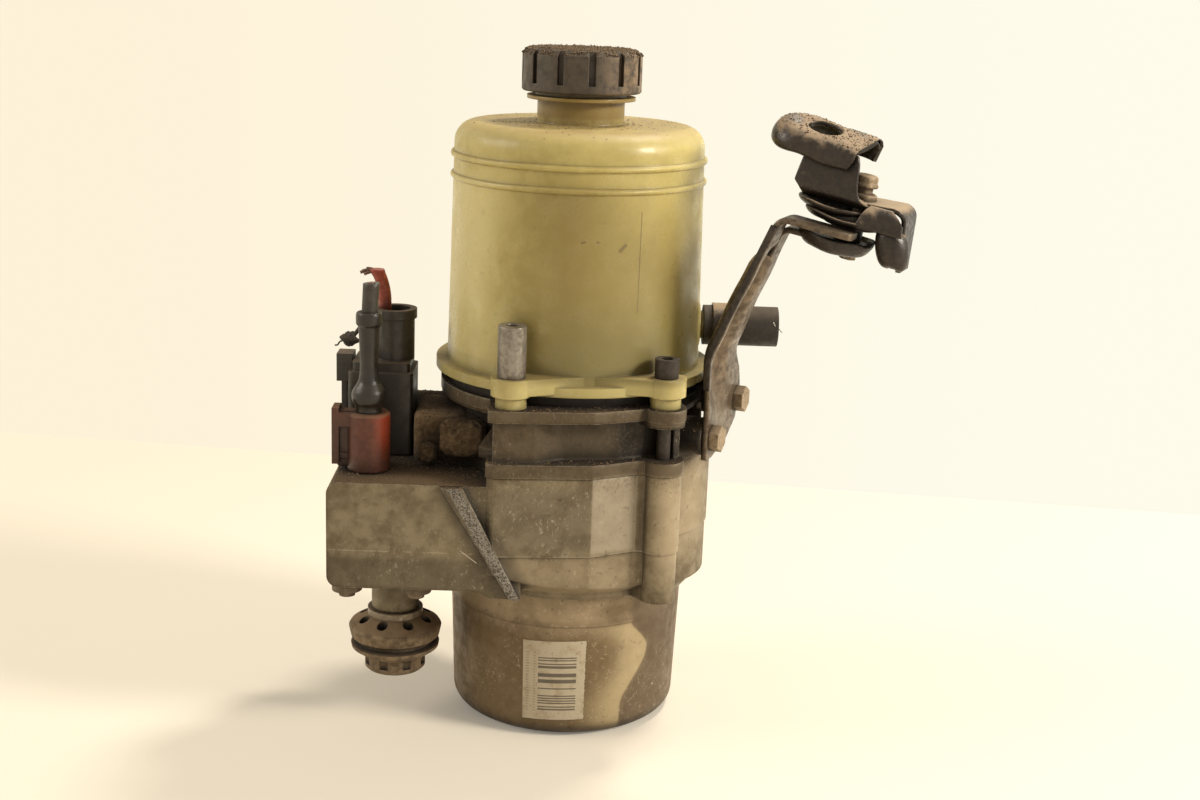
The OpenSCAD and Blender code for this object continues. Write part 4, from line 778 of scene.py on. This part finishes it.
def signal_lead_pieces():
    """The red cable stub along its bend, with dark strands fanning out of the cut end, and a short dirty wire end."""
    low, high = (np.array(corner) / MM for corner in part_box("signal_cable"))
    foot = np.array([high[0] - SIGNAL_INSET, (low[1] + high[1]) / 2, low[2]])
    turn = np.linspace(0, SIGNAL_TURN, 18)[:, None]
    arc = np.hstack([SIGNAL_BEND * (np.cos(turn) - 1), 0 * turn, SIGNAL_RISE + SIGNAL_BEND * np.sin(turn)])
    rise = np.linspace(0, SIGNAL_RISE, 10)[:-1, None] * np.array([0, 0, 1.0])
    path = foot + np.vstack([rise, arc])
    swell = np.where(np.arange(len(path)) > len(path) - 4, SHEATH_END_R, SHEATH_R)
    sheath = tube("red_sheath", path, swell, 24, cut=SHEATH_CUT)
    finish_piece(sheath, "red_cable", "signal_lead", "signal_cable")
    draw = np.random.default_rng(11)
    heading = np.array([-math.sin(SIGNAL_TURN), 0, math.cos(SIGNAL_TURN)])
    for strand in range(STRANDS):
        spot = path[-1] + np.array([-1.2, 0, 0.4]) + draw.normal(0, 0.6, 3) * np.array([1, 1, 0.4]) - heading * 2.4
        reach = draw.uniform(3.0, 5.0)
        fan = np.array([draw.uniform(-1.0, -0.4), draw.uniform(-0.3, 0.3), draw.uniform(-1.0, -0.5)])
        step = np.linspace(0, 1, 8)[:, None]
        line = spot + (heading * step + fan * step**2) * reach
        piece = tube("cut_strand_%d" % strand, line, STRAND_R, 8)
        finish_piece(piece, "copper", "signal_lead", material=FINISH["dark_strand"])
    finish_piece(tube("wire_end", smooth_line(WIRE_LINE, 24), 0.9, 10), "black_rubber", "signal_lead")
    ball, turn = ball_grid(0.12, 22, 28)
    knob = 1 + 0.16 * np.sin(3 * turn + 2 * ball) + 0.12 * np.sin(5 * ball + 1.3 * np.cos(turn))
    knob = knob + draw.normal(0, 0.03, ball.shape)
    lump = round_points(np.sin(ball), turn, -np.cos(ball)) * WIRE_DIRT_HALF * knob[..., None] + WIRE_DIRT_AT
    finish_piece(grid_mesh("wire_dirt", lump * MM, around=True, capped=True), "black_rubber", "signal_lead")
    finish_piece(tube("wire_tail", smooth_line(WIRE_TAIL_LINE, 12), 0.35, 8), "black_rubber", "signal_lead")


THREAD_LINE = [(87.3, 2.0, 176.5), (88.4, 1.6, 174.8), (89.2, 2.0, 173.9), (90.3, 2.2, 173.2), (91.6, 2.0, 171.7)]


def hose_thread():
    """A loose pale thread at the hose's cut end, as a thin bar along a curl."""
    finish_piece(tube("hose_thread", smooth_line(THREAD_LINE, 24), 0.22, 8), "strainer_mesh", "pump")


# Dirt lying on the part

GRAIN = np.array([(1, 0, 0), (0, 1, 0), (-1, 0, 0), (0, -1, 0), (0, 0, 1), (0, 0, -1)], float)
GRAIN_FLATNESS = 0.75
GRAIN_FACES = np.array([(0, 1, 4), (1, 2, 4), (2, 3, 4), (3, 0, 4), (1, 0, 5), (2, 1, 5), (3, 2, 5), (0, 3, 5)])


def upward_spots(mesh, count, draw, steep, keep):
    """Places picked evenly over a mesh's faces that look up: triangles by area, and a random place in each."""
    mesh.calc_loop_triangles()
    corners = np.empty(len(mesh.vertices) * 3, np.float32)
    mesh.vertices.foreach_get("co", corners)
    order = np.empty(len(mesh.loop_triangles) * 3, np.int32)
    mesh.loop_triangles.foreach_get("vertices", order)
    three = corners.reshape(-1, 3).astype(float)[order.reshape(-1, 3)]
    square = np.cross(three[:, 1] - three[:, 0], three[:, 2] - three[:, 0])
    area = np.linalg.norm(square, axis=1)
    middle = three.mean(axis=1) / MM
    fit = (square[:, 2] > steep * area) & keep(middle[:, 0], middle[:, 1], middle[:, 2])
    weight = np.where(fit, area, 0.0)
    chosen = three[draw.choice(len(three), count, p=weight / weight.sum())]
    a, b = np.sqrt(draw.random(count)), draw.random(count)
    share = np.stack([1 - a, a * (1 - b), a * b], axis=1)
    return (chosen * share[..., None]).sum(axis=1)


def dirt_grains(name, carrier, slot, body, count, small, large, seed, keep, steep=0.6):
    """Many small eight-sided grains, each stretched at random, lying on the upward faces of their carrier."""
    draw = np.random.default_rng(seed)
    spots = upward_spots(carrier.data, count, draw, steep, keep)
    size = (small + (large - small) * draw.random(count) ** 3)[:, None, None] * MM
    shape = GRAIN[None] * draw.uniform(0.6, 1.4, (count, 6, 1)) * size
    turn = draw.uniform(0, 2 * np.pi, count)
    spin = np.zeros((count, 3, 3))
    spin[:, 0, 0] = spin[:, 1, 1] = np.cos(turn)
    spin[:, 1, 0] = np.sin(turn)
    spin[:, 0, 1] = -np.sin(turn)
    spin[:, 2, 2] = GRAIN_FLATNESS
    corners = np.einsum("nij,nkj->nki", spin, shape) + spots[:, None]
    faces = GRAIN_FACES[None] + 6 * np.arange(count)[:, None, None]
    mesh = bpy.data.meshes.new(name)
    mesh.from_pydata(corners.reshape(-1, 3).tolist(), [], faces.reshape(-1, 3).tolist())
    finish_piece(linked(name, mesh), slot, body, material=FINISH["clotted_dirt"])


def rough_lump(name, centre, half, square, seed, ripple):
    """A caked lump: a rounded box, its sines drawn out by a power, with three waves and random grain on its radius."""
    draw = np.random.default_rng(seed)
    ball, turn = ball_grid(0.03, 64, 96)
    waves = np.sin(4 * turn + 3 * ball) + 0.7 * np.sin(9 * turn - 5 * ball)
    waves = waves + 0.6 * np.sin(7 * ball + 2 * np.sin(3 * turn))
    swell = 1 + ripple * waves + draw.normal(0, 0.25 * ripple, ball.shape)

    def drawn(value):
        return np.sign(value) * np.abs(value) ** square

    ring = drawn(np.sin(ball)) * swell
    lump = np.stack([ring * drawn(np.cos(turn)), ring * drawn(np.sin(turn)), -drawn(np.cos(ball)) * swell], axis=-1)
    points = (lump * np.asarray(half) + np.asarray(centre)) * MM
    return grid_mesh(name, points, around=True, capped=True)


# Caked lumps: name, centre, half sizes, squareness, seed, ripple and the count of grains on it
CAKED_LUMPS = [
    ("caked_flank", (-55.4, -12.0, 127.0), (11.8, 19.0, 11.6), 0.26, 31, 0.004, 1800),
    ("gravel_step", (-45.2, -35.5, 130.0), (10.0, 6.5, 7.6), 0.5, 34, 0.03, 1700),
    ("gravel_lump", (-60.0, -36.0, 122.8), (3.7, 4.0, 4.0), 0.7, 32, 0.04, 500),
    ("caked_lug", (52.3, -12.0, 138.2), (4.2, 8.0, 5.6), 0.5, 35, 0.02, 500),
]
WAIST_R, WAIST_LOW, WAIST_HIGH, WAIST_WALL = 47.0, 121.0, 147.8, 1.5
CLIP_FILL_LOW = np.array([-97.0, -46.5, 119.0])
CLIP_FILL_HIGH = np.array([-88.0, -43.0, 143.2])


def filled_gaps():
    """Caked dirt between the plugs and the casting, the casting's inner wall at its waist and the plug clip's back."""
    lumps = [(rough_lump(*lump), count) for *lump, count in CAKED_LUMPS]
    for piece, count in lumps:
        finish_piece(piece, "cast_aluminium", "pump", material=FINISH["caked_dirt"])
        dirt_grains(
            piece.name + "_grains", piece, "cast_aluminium", "pump", count, 0.12, 0.5, count,
            lambda x, y, z: (y < 5) & (z > 118), steep=0.2,
        )
    inner = WAIST_R - WAIST_WALL
    wall = np.array([(WAIST_R, WAIST_LOW), (WAIST_R, WAIST_HIGH), (inner, WAIST_HIGH), (inner, WAIST_LOW)], float)
    ring = round_points(wall[:, :1], circle_of(96)[None, :], wall[:, 1:])
    # The wall carries the casting's painted shade of the waist recess.
    finish_piece(grid_mesh("waist_wall", ring * MM, around=True, looped=True), "cast_aluminium", "pump")
    middle, half = (CLIP_FILL_LOW + CLIP_FILL_HIGH) / 2, (CLIP_FILL_HIGH - CLIP_FILL_LOW) / 2
    finish_piece(rough_lump("plug_back", middle, half, 0.12, 33, 0.0), "red_plastic", "power_lead")


# Bracket arm as a pressed sheet; the lengths are those of the solid arm

BRACKET_TURN = math.radians(-24)
ARM_OUT = np.array([math.cos(BRACKET_TURN), math.sin(BRACKET_TURN), 0.0])
ARM_ALONG = np.array([-math.sin(BRACKET_TURN), math.cos(BRACKET_TURN), 0.0])
ARM_UP = np.array([0.0, 0.0, 1.0])
FOOT_U, FOOT_Z, FOOT_RUN, FOOT_W0 = 69.5, 125.0, 39.5, -15.0
KNEE_R, ARM_LEAN, ARM_LEN = 20.0, math.radians(23.7), 57.7
ELBOW_R, ELBOW_TURN = 4.0, math.radians(76.3)
SHEET_T = 2.6
LOW_DROP = 6.2
# The foot's far edge: places along the arm, and the width there
FOOT_EDGE_AT = [0, 4, 11, 24, 33, 42, 56]
FOOT_EDGE_W = [7, 25, 36, 40, 38.5, 33, 30, 25]
CHANNEL_FROM, CHANNEL_DEPTH = 14.0, 4.6
RIM_FROM, RIM_T = 30.0, 2.7
# Tongues: name, shift to the back, length of the slope and of the leaf
TONGUES = [("tongue_front", 0.0, ARM_LEN, 26.0), ("tongue_back", 13.0, ARM_LEN - LOW_DROP, 30.0)]
TONGUE_W, TONGUE_OVERLAP, TONGUE_END, TONGUE_DRAW_IN = 12.0, 9.0, 3.0, 2.5


def bent_path(legs, step=1.0):
    """Places and outward directions along a bent sheet: straight legs, and turns given as (angle, radius)."""
    lengths = [leg if np.isscalar(leg) else leg[0] * leg[1] for leg in legs]
    rates = [0.0 if np.isscalar(leg) else 1.0 / leg[1] for leg in legs]
    ends = np.concatenate([[0.0], np.cumsum(lengths)])
    along = np.linspace(0, ends[-1], int(ends[-1] / step) + 1)
    heading = np.interp(along, ends, np.concatenate([[0.0], np.cumsum(np.array(lengths) * np.array(rates))]))
    middle = (heading[1:] + heading[:-1]) / 2
    run = np.diff(along)
    out = FOOT_U + np.concatenate([[0.0], np.cumsum(run * np.sin(middle))])
    up = FOOT_Z + np.concatenate([[0.0], np.cumsum(run * np.cos(middle))])
    path = out[:, None] * ARM_OUT + up[:, None] * ARM_UP
    outward = np.cos(heading)[:, None] * ARM_OUT - np.sin(heading)[:, None] * ARM_UP
    return along, path, outward


def bracket_arm_pieces():
    """The arm as strips: the foot with the slope and its pressed channel, a rim, and two tongues folded at the head."""
    knee = (ARM_LEAN, KNEE_R)
    along, path, outward = bent_path([FOOT_RUN, knee, ARM_LEN - LOW_DROP])
    foot_low = np.full(len(along), FOOT_W0)
    foot_high = FOOT_W0 + np.interp(along, [*FOOT_EDGE_AT, along[-1]], FOOT_EDGE_W)
    start = CHANNEL_FROM / along[-1]

    def channel(share, width):
        centre = FOOT_W0 + 13.0 - 2.0 * share
        wide = 8.5 - 3.0 * share
        valley = np.exp(-(((width - centre) / wide) ** 2) * 1.6)
        fade = np.clip((share - start) / 0.2, 0, 1) * np.clip((1 - share) / 0.16, 0, 1)
        return CHANNEL_DEPTH * valley * fade * fade * (3 - 2 * fade) + 0.25 * np.sin(share * 21) * fade

    arm = strip("arm_sheet", path, ARM_ALONG, outward, foot_low, foot_high, SHEET_T, channel, 120)
    finish_piece(arm, "dull_steel", "pump", "bracket_arm")
    along, path, outward = bent_path([FOOT_RUN, knee, ARM_LEN + 0.5])
    bare = along > RIM_FROM
    swell = np.minimum(np.linspace(0, 4, bare.sum()), 1.0)
    edge_low, edge_high = FOOT_W0 - 0.2 - 0.9 * swell, FOOT_W0 + 0.5 + 0 * swell
    inset = (path - outward * 0.3)[bare]
    rim = strip("arm_rim", inset, ARM_ALONG, outward[bare], edge_low, edge_high, RIM_T, columns=32)
    # The rim's dark steel is dark paint and dirt, darkened further as painted shade.
    finish_piece(rim, "dull_steel", "pump", material=FINISH["shaded_dark_steel"])
    slope = FOOT_RUN + ARM_LEAN * KNEE_R
    for name, shift, length, leaf in TONGUES:
        along, path, outward = bent_path([FOOT_RUN, knee, length, (ELBOW_TURN, ELBOW_R), leaf], 0.7)
        bare = along > slope + length - TONGUE_OVERLAP
        to_end = np.minimum(along[-1] - along[bare], TONGUE_END)
        draw_in = TONGUE_DRAW_IN * (1 - np.sqrt(np.clip(1 - (1 - to_end / TONGUE_END) ** 2, 0, 1)))
        low, high = FOOT_W0 + shift + draw_in, FOOT_W0 + shift + TONGUE_W - draw_in
        tongue = strip(name, path[bare], ARM_ALONG, outward[bare], low, high, SHEET_T, columns=64)
        finish_piece(tongue, "dull_steel", "pump", material=FINISH["tongue_steel"])


# Head of the bracket, in a frame on top of the arm's upper leaf: out along the arm, to the back, and up

HEAD_TILT = ELBOW_TURN + ARM_LEAN - math.pi / 2
HEAD_OUT = ARM_OUT * math.cos(HEAD_TILT) - ARM_UP * math.sin(HEAD_TILT)
HEAD_UP = ARM_OUT * math.sin(HEAD_TILT) + ARM_UP * math.cos(HEAD_TILT)
HEAD_SHIFT = (13.0, 5.0)


def head_corner():
    """The head's zero point, from the arm's bends: knee, slope, elbow and half the leaf."""
    knee = FOOT_U + KNEE_R * (1 - math.cos(ARM_LEAN)) + ARM_LEN * math.sin(ARM_LEAN)
    rise = FOOT_Z + FOOT_RUN + KNEE_R * math.sin(ARM_LEAN) + ARM_LEN * math.cos(ARM_LEAN)
    out = knee + ELBOW_R * math.cos(ARM_LEAN) + (ELBOW_R + SHEET_T) * math.sin(HEAD_TILT)
    up = rise - ELBOW_R * math.sin(ARM_LEAN) + (ELBOW_R + SHEET_T) * math.cos(HEAD_TILT)
    return ARM_OUT * out + ARM_UP * up + HEAD_OUT * HEAD_SHIFT[0] + ARM_ALONG * HEAD_SHIFT[1]


HEAD_AT = head_corner()
BOLT_OUT = 7.0


def head_place(out, back, up):
    """Points of the head's frame as places in the shared frame, in millimetres."""
    out, back, up = np.broadcast_arrays(out, back, up)
    return HEAD_AT + out[..., None] * HEAD_OUT + back[..., None] * ARM_ALONG + up[..., None] * HEAD_UP


def oval_dish(name, profile, centre, half_out, half_back, sides=72, hexed=0.0, wave=0.0):
    """A turned piece with an oval plan: the profile, share of radius and height, goes round an upright of the head."""
    angle = circle_of(sides)[None, :]
    share, height = profile[:, :1], profile[:, 1:2]
    share = share * (1 + hexed * np.cos(6 * angle) * (share > 0.3))
    height = height + wave * share**2 * (np.sin(2 * angle + 0.6) + 0.5 * np.sin(5 * angle))
    points = head_place(
        centre[0] + half_out * share * np.cos(angle), centre[1] + half_back * share * np.sin(angle), centre[2] + height
    )
    return grid_mesh(name, points * MM, around=True, capped=True)


HOOD_END, HOOD_BACK, HOOD_TOP = 8.9, -2.5, 33.9
HOOD_RUN, HOOD_HALF, HOOD_CORNER, HOOD_RIM, HOOD_SHEET = 29.0, 13.0, 7.6, 1.6, 2.2
HOOD_SLANT, HOOD_SLANT_AT = 0.2, 7.5
HOOD_BACK_RIM, HOOD_OPEN_RIM, HOOD_LIP_IN = 5.0, 0.4, 0.07
HOOD_TILT, HOOD_ROLL = math.radians(5), math.radians(17)
HOLE_AT, HOLE_HALF_OUT, HOLE_HALF_BACK = -20.6, 7.2, 5.8


def turned(a, b, angle):
    """Two coordinates turned together, from the first towards the second."""
    return a * math.cos(angle) - b * math.sin(angle), a * math.sin(angle) + b * math.cos(angle)


def hood_outline(angle):
    """Plan edge of the hood seen from its hole: rays to the open end, the two long sides or the round end."""
    step_out, step_back = np.cos(angle), np.sin(angle)
    to_line = step_out - HOOD_SLANT * step_back
    to_end = np.where(to_line > 1e-6, (-HOOD_SLANT * HOOD_SLANT_AT - HOLE_AT) / np.maximum(to_line, 1e-6), 1e6)
    to_side = HOOD_HALF / np.maximum(np.abs(step_back), 1e-6)
    reach = np.minimum(to_end, to_side)
    beyond = HOLE_AT + reach * step_out < -HOOD_RUN
    offset = HOLE_AT + HOOD_RUN
    to_round = -offset * step_out + np.sqrt(np.maximum(HOOD_HALF**2 - (offset * step_back) ** 2, 0))
    reach = np.where(beyond, to_round, reach)
    return HOLE_AT + reach * step_out, reach * step_back, to_end <= to_side


def hood_shell():
    """The domed hood: rows run from the hole to the rim, its height falls as a quarter round near the edge, and a
    second skin lies one sheet below along the normals."""
    angle = -circle_of(144)[None, :]
    run = np.linspace(0, 1, 40)[:, None]
    edge_out, edge_back, open_end = hood_outline(angle)
    hole_out, hole_back = HOLE_AT + HOLE_HALF_OUT * np.cos(angle), HOLE_HALF_BACK * np.sin(angle)
    share = np.sin(run * np.pi / 2)
    out = hole_out + (edge_out - hole_out) * share
    back = hole_back + (edge_back - hole_back) * share
    from_spine = np.hypot(out - np.clip(out, -HOOD_RUN, 0), back)
    bend = np.clip((from_spine - HOOD_HALF + HOOD_CORNER) / HOOD_CORNER, 0, 1)
    up = HOOD_CORNER * (np.sqrt(1 - bend**2) - 1) + 0.5 * np.sin(out * 0.3) * np.cos(back * 0.25)
    lip = np.linspace(0, 1, 7)[1:, None]
    drop = np.where(open_end, HOOD_OPEN_RIM, np.where(edge_back > 0, HOOD_BACK_RIM, HOOD_RIM))
    out = np.vstack([out, edge_out + 0 * lip])
    back = np.vstack([back, edge_back * (1 - HOOD_LIP_IN * lip**2 * ~open_end)])
    up = np.vstack([up, up[-1:] - drop * lip])
    flat = np.stack([out, back, up], axis=-1)
    wrapped = np.concatenate([flat[:, -1:], flat, flat[:, :1]], axis=1)
    normal = np.cross(np.gradient(wrapped, axis=1)[:, 1:-1], np.gradient(flat, axis=0))
    normal /= np.maximum(np.linalg.norm(normal, axis=-1, keepdims=True), 1e-9)
    skins = np.concatenate([flat, (flat - normal * HOOD_SHEET)[::-1]])
    out, back, up = skins[..., 0], skins[..., 1], skins[..., 2]
    back, up = turned(back, up, HOOD_ROLL)
    up, out = turned(up, out, HOOD_TILT)
    points = head_place(HOOD_END + out, HOOD_BACK + back, HOOD_TOP + up)
    shell = grid_mesh("hood_shell", points * MM, around=True, looped=True)
    return finish_piece(shell, "dark_steel", "pump", "hood_bracket")


def line_normals(level, up, direction):
    """Unit normals of a line in an upright plane of the head, a quarter turn on from its gradient."""
    turn_level, turn_up = np.gradient(level), np.gradient(up)
    length = np.hypot(turn_level, turn_up)
    return (-turn_up / length)[:, None] * direction + (turn_level / length)[:, None] * HEAD_UP


def head_strip(name, line, low, high, thickness, columns=64):
    """A bent sheet of the head: its line lies in the plane of back and up, with the face to the front or below."""
    back, up = line[:, 0], line[:, 1]
    path, outward = head_place(0 * back, back, up), line_normals(back, up, ARM_ALONG)
    return strip(name, path, HEAD_OUT, outward, low, high, thickness, columns=columns)


WEB_LINE = [(12, 8.2), (2, 8.2), (-6, 8.4), (-9.6, 10.6), (-10.6, 14), (-9.6, 20), (-8.4, 26), (-7.6, 29)]
WEB_ROWS = 60


def hood_web():
    """The hood's front wall and foot: a sheet along a line from the back, round a bend and up under the hood."""
    share = np.linspace(0, 1, WEB_ROWS)
    low = np.interp(share, [0, 0.38, 0.5, 0.58, 0.68, 0.8, 1], [-14, -14, -15.5, -17.6, -17.2, -16.6, -16.8])
    high = np.interp(share, [0, 0.38, 0.5, 0.62, 0.72, 0.82, 1], [16, 15, 10.5, 8.6, 7.6, 6.8, 5.2])
    web = head_strip("hood_web", smooth_line(WEB_LINE, WEB_ROWS), low, high, HOOD_SHEET)
    finish_piece(web, "dark_steel", "pump")


CLIP_SHEET = 2.0
CLIP_FROM, CLIP_TO, CLIP_UP, CLIP_SLOPE = -8.0, 24.5, 11.4, 0.07
CLIP_BEND_R, CLIP_BEND, CLIP_FALL = 5.5, math.radians(82), 20.5
FLAP_LINE = [(-13.6, 2.6), (-13.4, 5.0), (-11.6, 9.0), (-9.0, 11.6)]
FLAP_ROWS = 24


def clip_pieces():
    """The clip: a plate bent down at its outer end, a slanting front flap, and the rounded lobe below."""
    turn = np.linspace(0, CLIP_BEND, 14)[1:]
    level = np.linspace(CLIP_FROM, CLIP_TO, 22)
    fall = np.linspace(0, CLIP_FALL, 18)[1:]
    flat = CLIP_UP + CLIP_SLOPE * (level - BOLT_OUT)
    out = np.concatenate([level, CLIP_TO + CLIP_BEND_R * np.sin(turn), 30 + fall * 0.11])
    up = np.concatenate([flat, 12.6 + CLIP_BEND_R * (np.cos(turn) - 1), 7.9 - fall * 0.99])
    share = np.linspace(0, 1, len(out))
    near = np.interp(share, [0, 0.3, 0.5, 0.62, 1], [-6, -8.5, -8.5, -6.5, -4.5])
    far = np.interp(share, [0, 0.3, 0.6, 1], [9, 13, 13, 10])
    path, outward = head_place(out, 0 * out, up), line_normals(out, up, HEAD_OUT)
    plate = strip("clip_plate", path, -ARM_ALONG, outward, -far, -near, CLIP_SHEET, columns=48)
    finish_piece(plate, "dark_steel", "pump", "mount_clip", material=FINISH["dusty_plate"])
    share = np.linspace(0, 1, FLAP_ROWS)
    low = np.interp(share, [0, 0.5, 1], [11, 12.5, 15])
    high = np.interp(share, [0, 0.5, 1], [31.0, 30.4, 24.5])
    flap = head_strip("clip_flap", smooth_line(FLAP_LINE, FLAP_ROWS), low, high, CLIP_SHEET, 40)
    finish_piece(flap, "dark_steel", "pump")
    ball, turn = ball_grid(0.06, 32, 48)
    round_in = np.sin(ball) ** 0.4
    out = 27.0 + 6.9 * round_in * np.cos(turn) + 2.2 * np.cos(ball)
    back = -6.0 + 5.4 * round_in * np.sin(turn)
    up = -3.4 - 7.6 * np.cos(ball) + 0.5 * np.sin(3 * turn)
    lobe = grid_mesh("clip_lobe", head_place(out, back, up) * MM, around=True, capped=True)
    finish_piece(lobe, "dark_steel", "pump")


CUP_PROFILE = [
    (0.02, -5.6), (0.45, -6.0), (0.8, -4.8), (0.97, -1.8), (1.02, 0.6), (0.97, 1.0), (0.9, -0.8), (0.5, -4.0),
    (0.02, -4.2),
]
DISH_PROFILE = [(0.02, -1.4), (0.7, -1.2), (0.93, 0.0), (1.02, 1.7), (0.97, 2.3), (0.88, 1.0), (0.6, 0.3), (0.02, 0.2)]
BOLT_PROFILE = [
    (0.05, -13.4), (3.0, -13.4), (3.3, -13.0), (3.3, -11.8), (3.1, -11.5), (3.0, -11.2), (3.0, -4.0), (3.0, 6.0),
    (3.0, 14.0), (3.6, 14.2), (3.7, 16.8), (4.8, 16.9), (5.25, 17.4), (5.15, 18.4), (4.7, 18.8), (4.65, 20.6),
    (4.0, 21.5), (0.05, 21.7),
]
WASHER_R = 5.3
WASHER_PROFILE = [(0.02, 0.0), (0.94, 0.0), (1.03, 0.6), (1.04, 2.2), (0.95, 3.0), (0.6, 3.3), (0.02, 3.3)]


def head_stack():
    """The pressed dishes and the cup round the mount bolt, and the bolt's round washer and softened head."""
    dish = smooth_line(DISH_PROFILE, 56)
    upper = oval_dish("upper_dish", dish, (0.6, -1.0, 5.6), 16.8, 13.0, wave=0.35)
    lower = oval_dish("lower_dish", dish, (5.6, -1.2, 1.9), 17.8, 13.2, wave=0.5)
    for piece in (upper, lower):
        finish_piece(piece, "dark_steel", "pump")
    cup = oval_dish("bowl_cup", smooth_line(CUP_PROFILE, 64), (3.0, -2.0, -5.6), 15.6, 12.6, wave=0.5)
    finish_piece(cup, "dark_steel", "pump", "mount_cup")
    rim = smooth_line(WASHER_PROFILE, 40)
    washer = oval_dish("round_washer", rim, (BOLT_OUT + 2.2, 0.0, 11.2), WASHER_R, WASHER_R, hexed=0.02)
    finish_piece(washer, "rusty_steel", "pump", "mount_washer")
    bolt = oval_dish("soft_bolt", smooth_line(BOLT_PROFILE, 120), (BOLT_OUT + 1.8, 0.0, 0.0), 1.0, 1.0, hexed=0.03)
    finish_piece(bolt, "rusty_steel", "pump", "mount_bolt")


def lying_dirt(hood):
    """Grains on the cap, the shoulder round the neck, the box, the casting's ledges and the hood."""
    cap, tank, housing, casting = (parts[n] for n in ("filler_cap", "reservoir", "main_housing", "pump_casting"))
    dirt_grains("cap_dirt", cap, "cap_plastic", "cap", 2600, 0.2, 0.85, 21, lambda x, y, z: z > 284)
    dirt_grains("neck_dirt", tank, "tank_plastic", "pump", 420, 0.12, 0.5, 22,
                lambda x, y, z: (z > 258) & (z < 262) & (np.hypot(x, y) < 34))
    dirt_grains("shoulder_dirt", tank, "tank_plastic", "pump", 260, 0.1, 0.4, 23,
                lambda x, y, z: (z > 256) & (z < 262) & (np.hypot(x, y) >= 30))
    dirt_grains("box_dirt", housing, "cast_aluminium", "pump", 2200, 0.15, 0.7, 24,
                lambda x, y, z: (z > 110) & (x < -34))
    dirt_grains("casting_dirt", casting, "cast_aluminium", "pump", 3600, 0.15, 0.75, 25,
                lambda x, y, z: (z > 124) & ((x < -30) | (y < -45) | (x > 30)), steep=0.35)
    dirt_grains("deck_dirt", housing, "cast_aluminium", "pump", 2600, 0.12, 0.6, 27,
                lambda x, y, z: (z > 116) & (x > -34) & (y < -30), steep=0.3)
    dirt_grains("hood_dirt", hood, "dark_steel", "pump", 900, 0.1, 0.5, 26, lambda x, y, z: z > 240, steep=0.75)


sticker()
power_lead_pieces()
signal_lead_pieces()
hose_thread()
filled_gaps()
bracket_arm_pieces()
hood = hood_shell()
hood_web()
clip_pieces()
head_stack()
lying_dirt(hood)


# Floor, wall and light

def eye_rays(tree):
    """One for rays from the camera, from mirrors and through glass."""
    path = tree.add("LightPath").outputs
    return tree.math(
        "MAXIMUM", path["Is Camera Ray"], tree.math("MAXIMUM", path["Is Glossy Ray"], path["Is Transmission Ray"])
    )


def plain_sheet(name, corners, paint, seen_left, seen_right, glow_near, glow_far, backdrop=False):
    """A flat stage sheet: paint takes light and shadow, and a glow that grows away from the part shows to the eye."""
    mesh = bpy.data.meshes.new(name)
    mesh.from_pydata(corners, [], [tuple(range(len(corners)))])
    sheet = linked(name, mesh)
    material, tree, out = blank_material(name)
    shade = tree.add("BsdfDiffuse", Color=tone(*paint)).outputs[0]
    x, y, _ = tree.split(tree.here())
    seen = tree.mix(tree.span(x, -0.35, 0.35), tone(*seen_left), tone(*seen_right))
    glow = tree.span(tree.reach(x, y), 0.35, 1.6, glow_near, glow_far)
    light = tree.add("Emission", Color=seen, Strength=tree.math("MULTIPLY", eye_rays(tree), glow)).outputs[0]
    shade = tree.add("AddShader", shade, light).outputs[0]
    if backdrop:
        clear = tree.add("BsdfTransparent").outputs[0]
        shade = tree.add("MixShader", tree.add("NewGeometry").outputs["Backfacing"], shade, clear).outputs[0]
        sheet.visible_diffuse = False
        sheet.visible_shadow = False
    tree.tree.links.new(shade, out.inputs[0])
    mesh.materials.append(material)


FLOOR_Z = -0.0002
FLOOR_END = 6.0
WALL_TOP = 4.0
plain_sheet(
    "floor",
    [(-FLOOR_END, -FLOOR_END, FLOOR_Z), (FLOOR_END, -FLOOR_END, FLOOR_Z), (FLOOR_END, FLOOR_END, FLOOR_Z),
     (-FLOOR_END, FLOOR_END, FLOOR_Z)],
    (230, 220, 201), (255, 246, 224), (255, 254, 250), 0.16, 0.72,
)
WALL_LEFT = (-3.0, 0.731)
WALL_RIGHT = (3.0, -0.036)
plain_sheet(
    "wall",
    [(*WALL_LEFT, FLOOR_Z), (*WALL_RIGHT, FLOOR_Z), (*WALL_RIGHT, WALL_TOP), (*WALL_LEFT, WALL_TOP)],
    (40, 39, 36), (255, 243, 218), (255, 252, 236), 0.97, 0.97, backdrop=True,
)


WARM = (1.0, 0.94, 0.84)
LAMP_AIM = Vector((0, 0, 0.14))
# Lamps: name, place, size and power
LAMPS = [
    ("lamp_left", (-1.35, -0.15, 0.9), 0.8, 9.5),
    ("lamp_right", (1.3, -0.5, 0.85), 0.42, 20.0),
    ("lamp_top", (0.42, 0.36, 1.2), 0.22, 9.0),
]


def lamp(name, at, size, power):
    """A warm round lamp that looks at the part."""
    light = bpy.data.lights.new(name, "AREA")
    light.shape = "DISK"
    light.size = size
    light.energy = power
    light.color = WARM
    turn = (LAMP_AIM - Vector(at)).to_track_quat("-Z", "Y").to_matrix().to_4x4()
    linked(name, light).matrix_world = Matrix.Translation(at) @ turn


for setting in LAMPS:
    lamp(*setting)


def sky():
    """Even light all round, and the plain cream backdrop for the eye."""
    world = bpy.data.worlds.new("studio")
    scene.world = world
    world.use_nodes = True
    tree = Tree(world.node_tree)
    seen = eye_rays(tree)
    back = world.node_tree.nodes["Background"]
    tree.put(back.inputs[0], tree.mix(seen, tone(255, 246, 232), tone(255, 243, 222)))
    tree.put(back.inputs[1], tree.blend(seen, 0.3, 0.93))


sky()
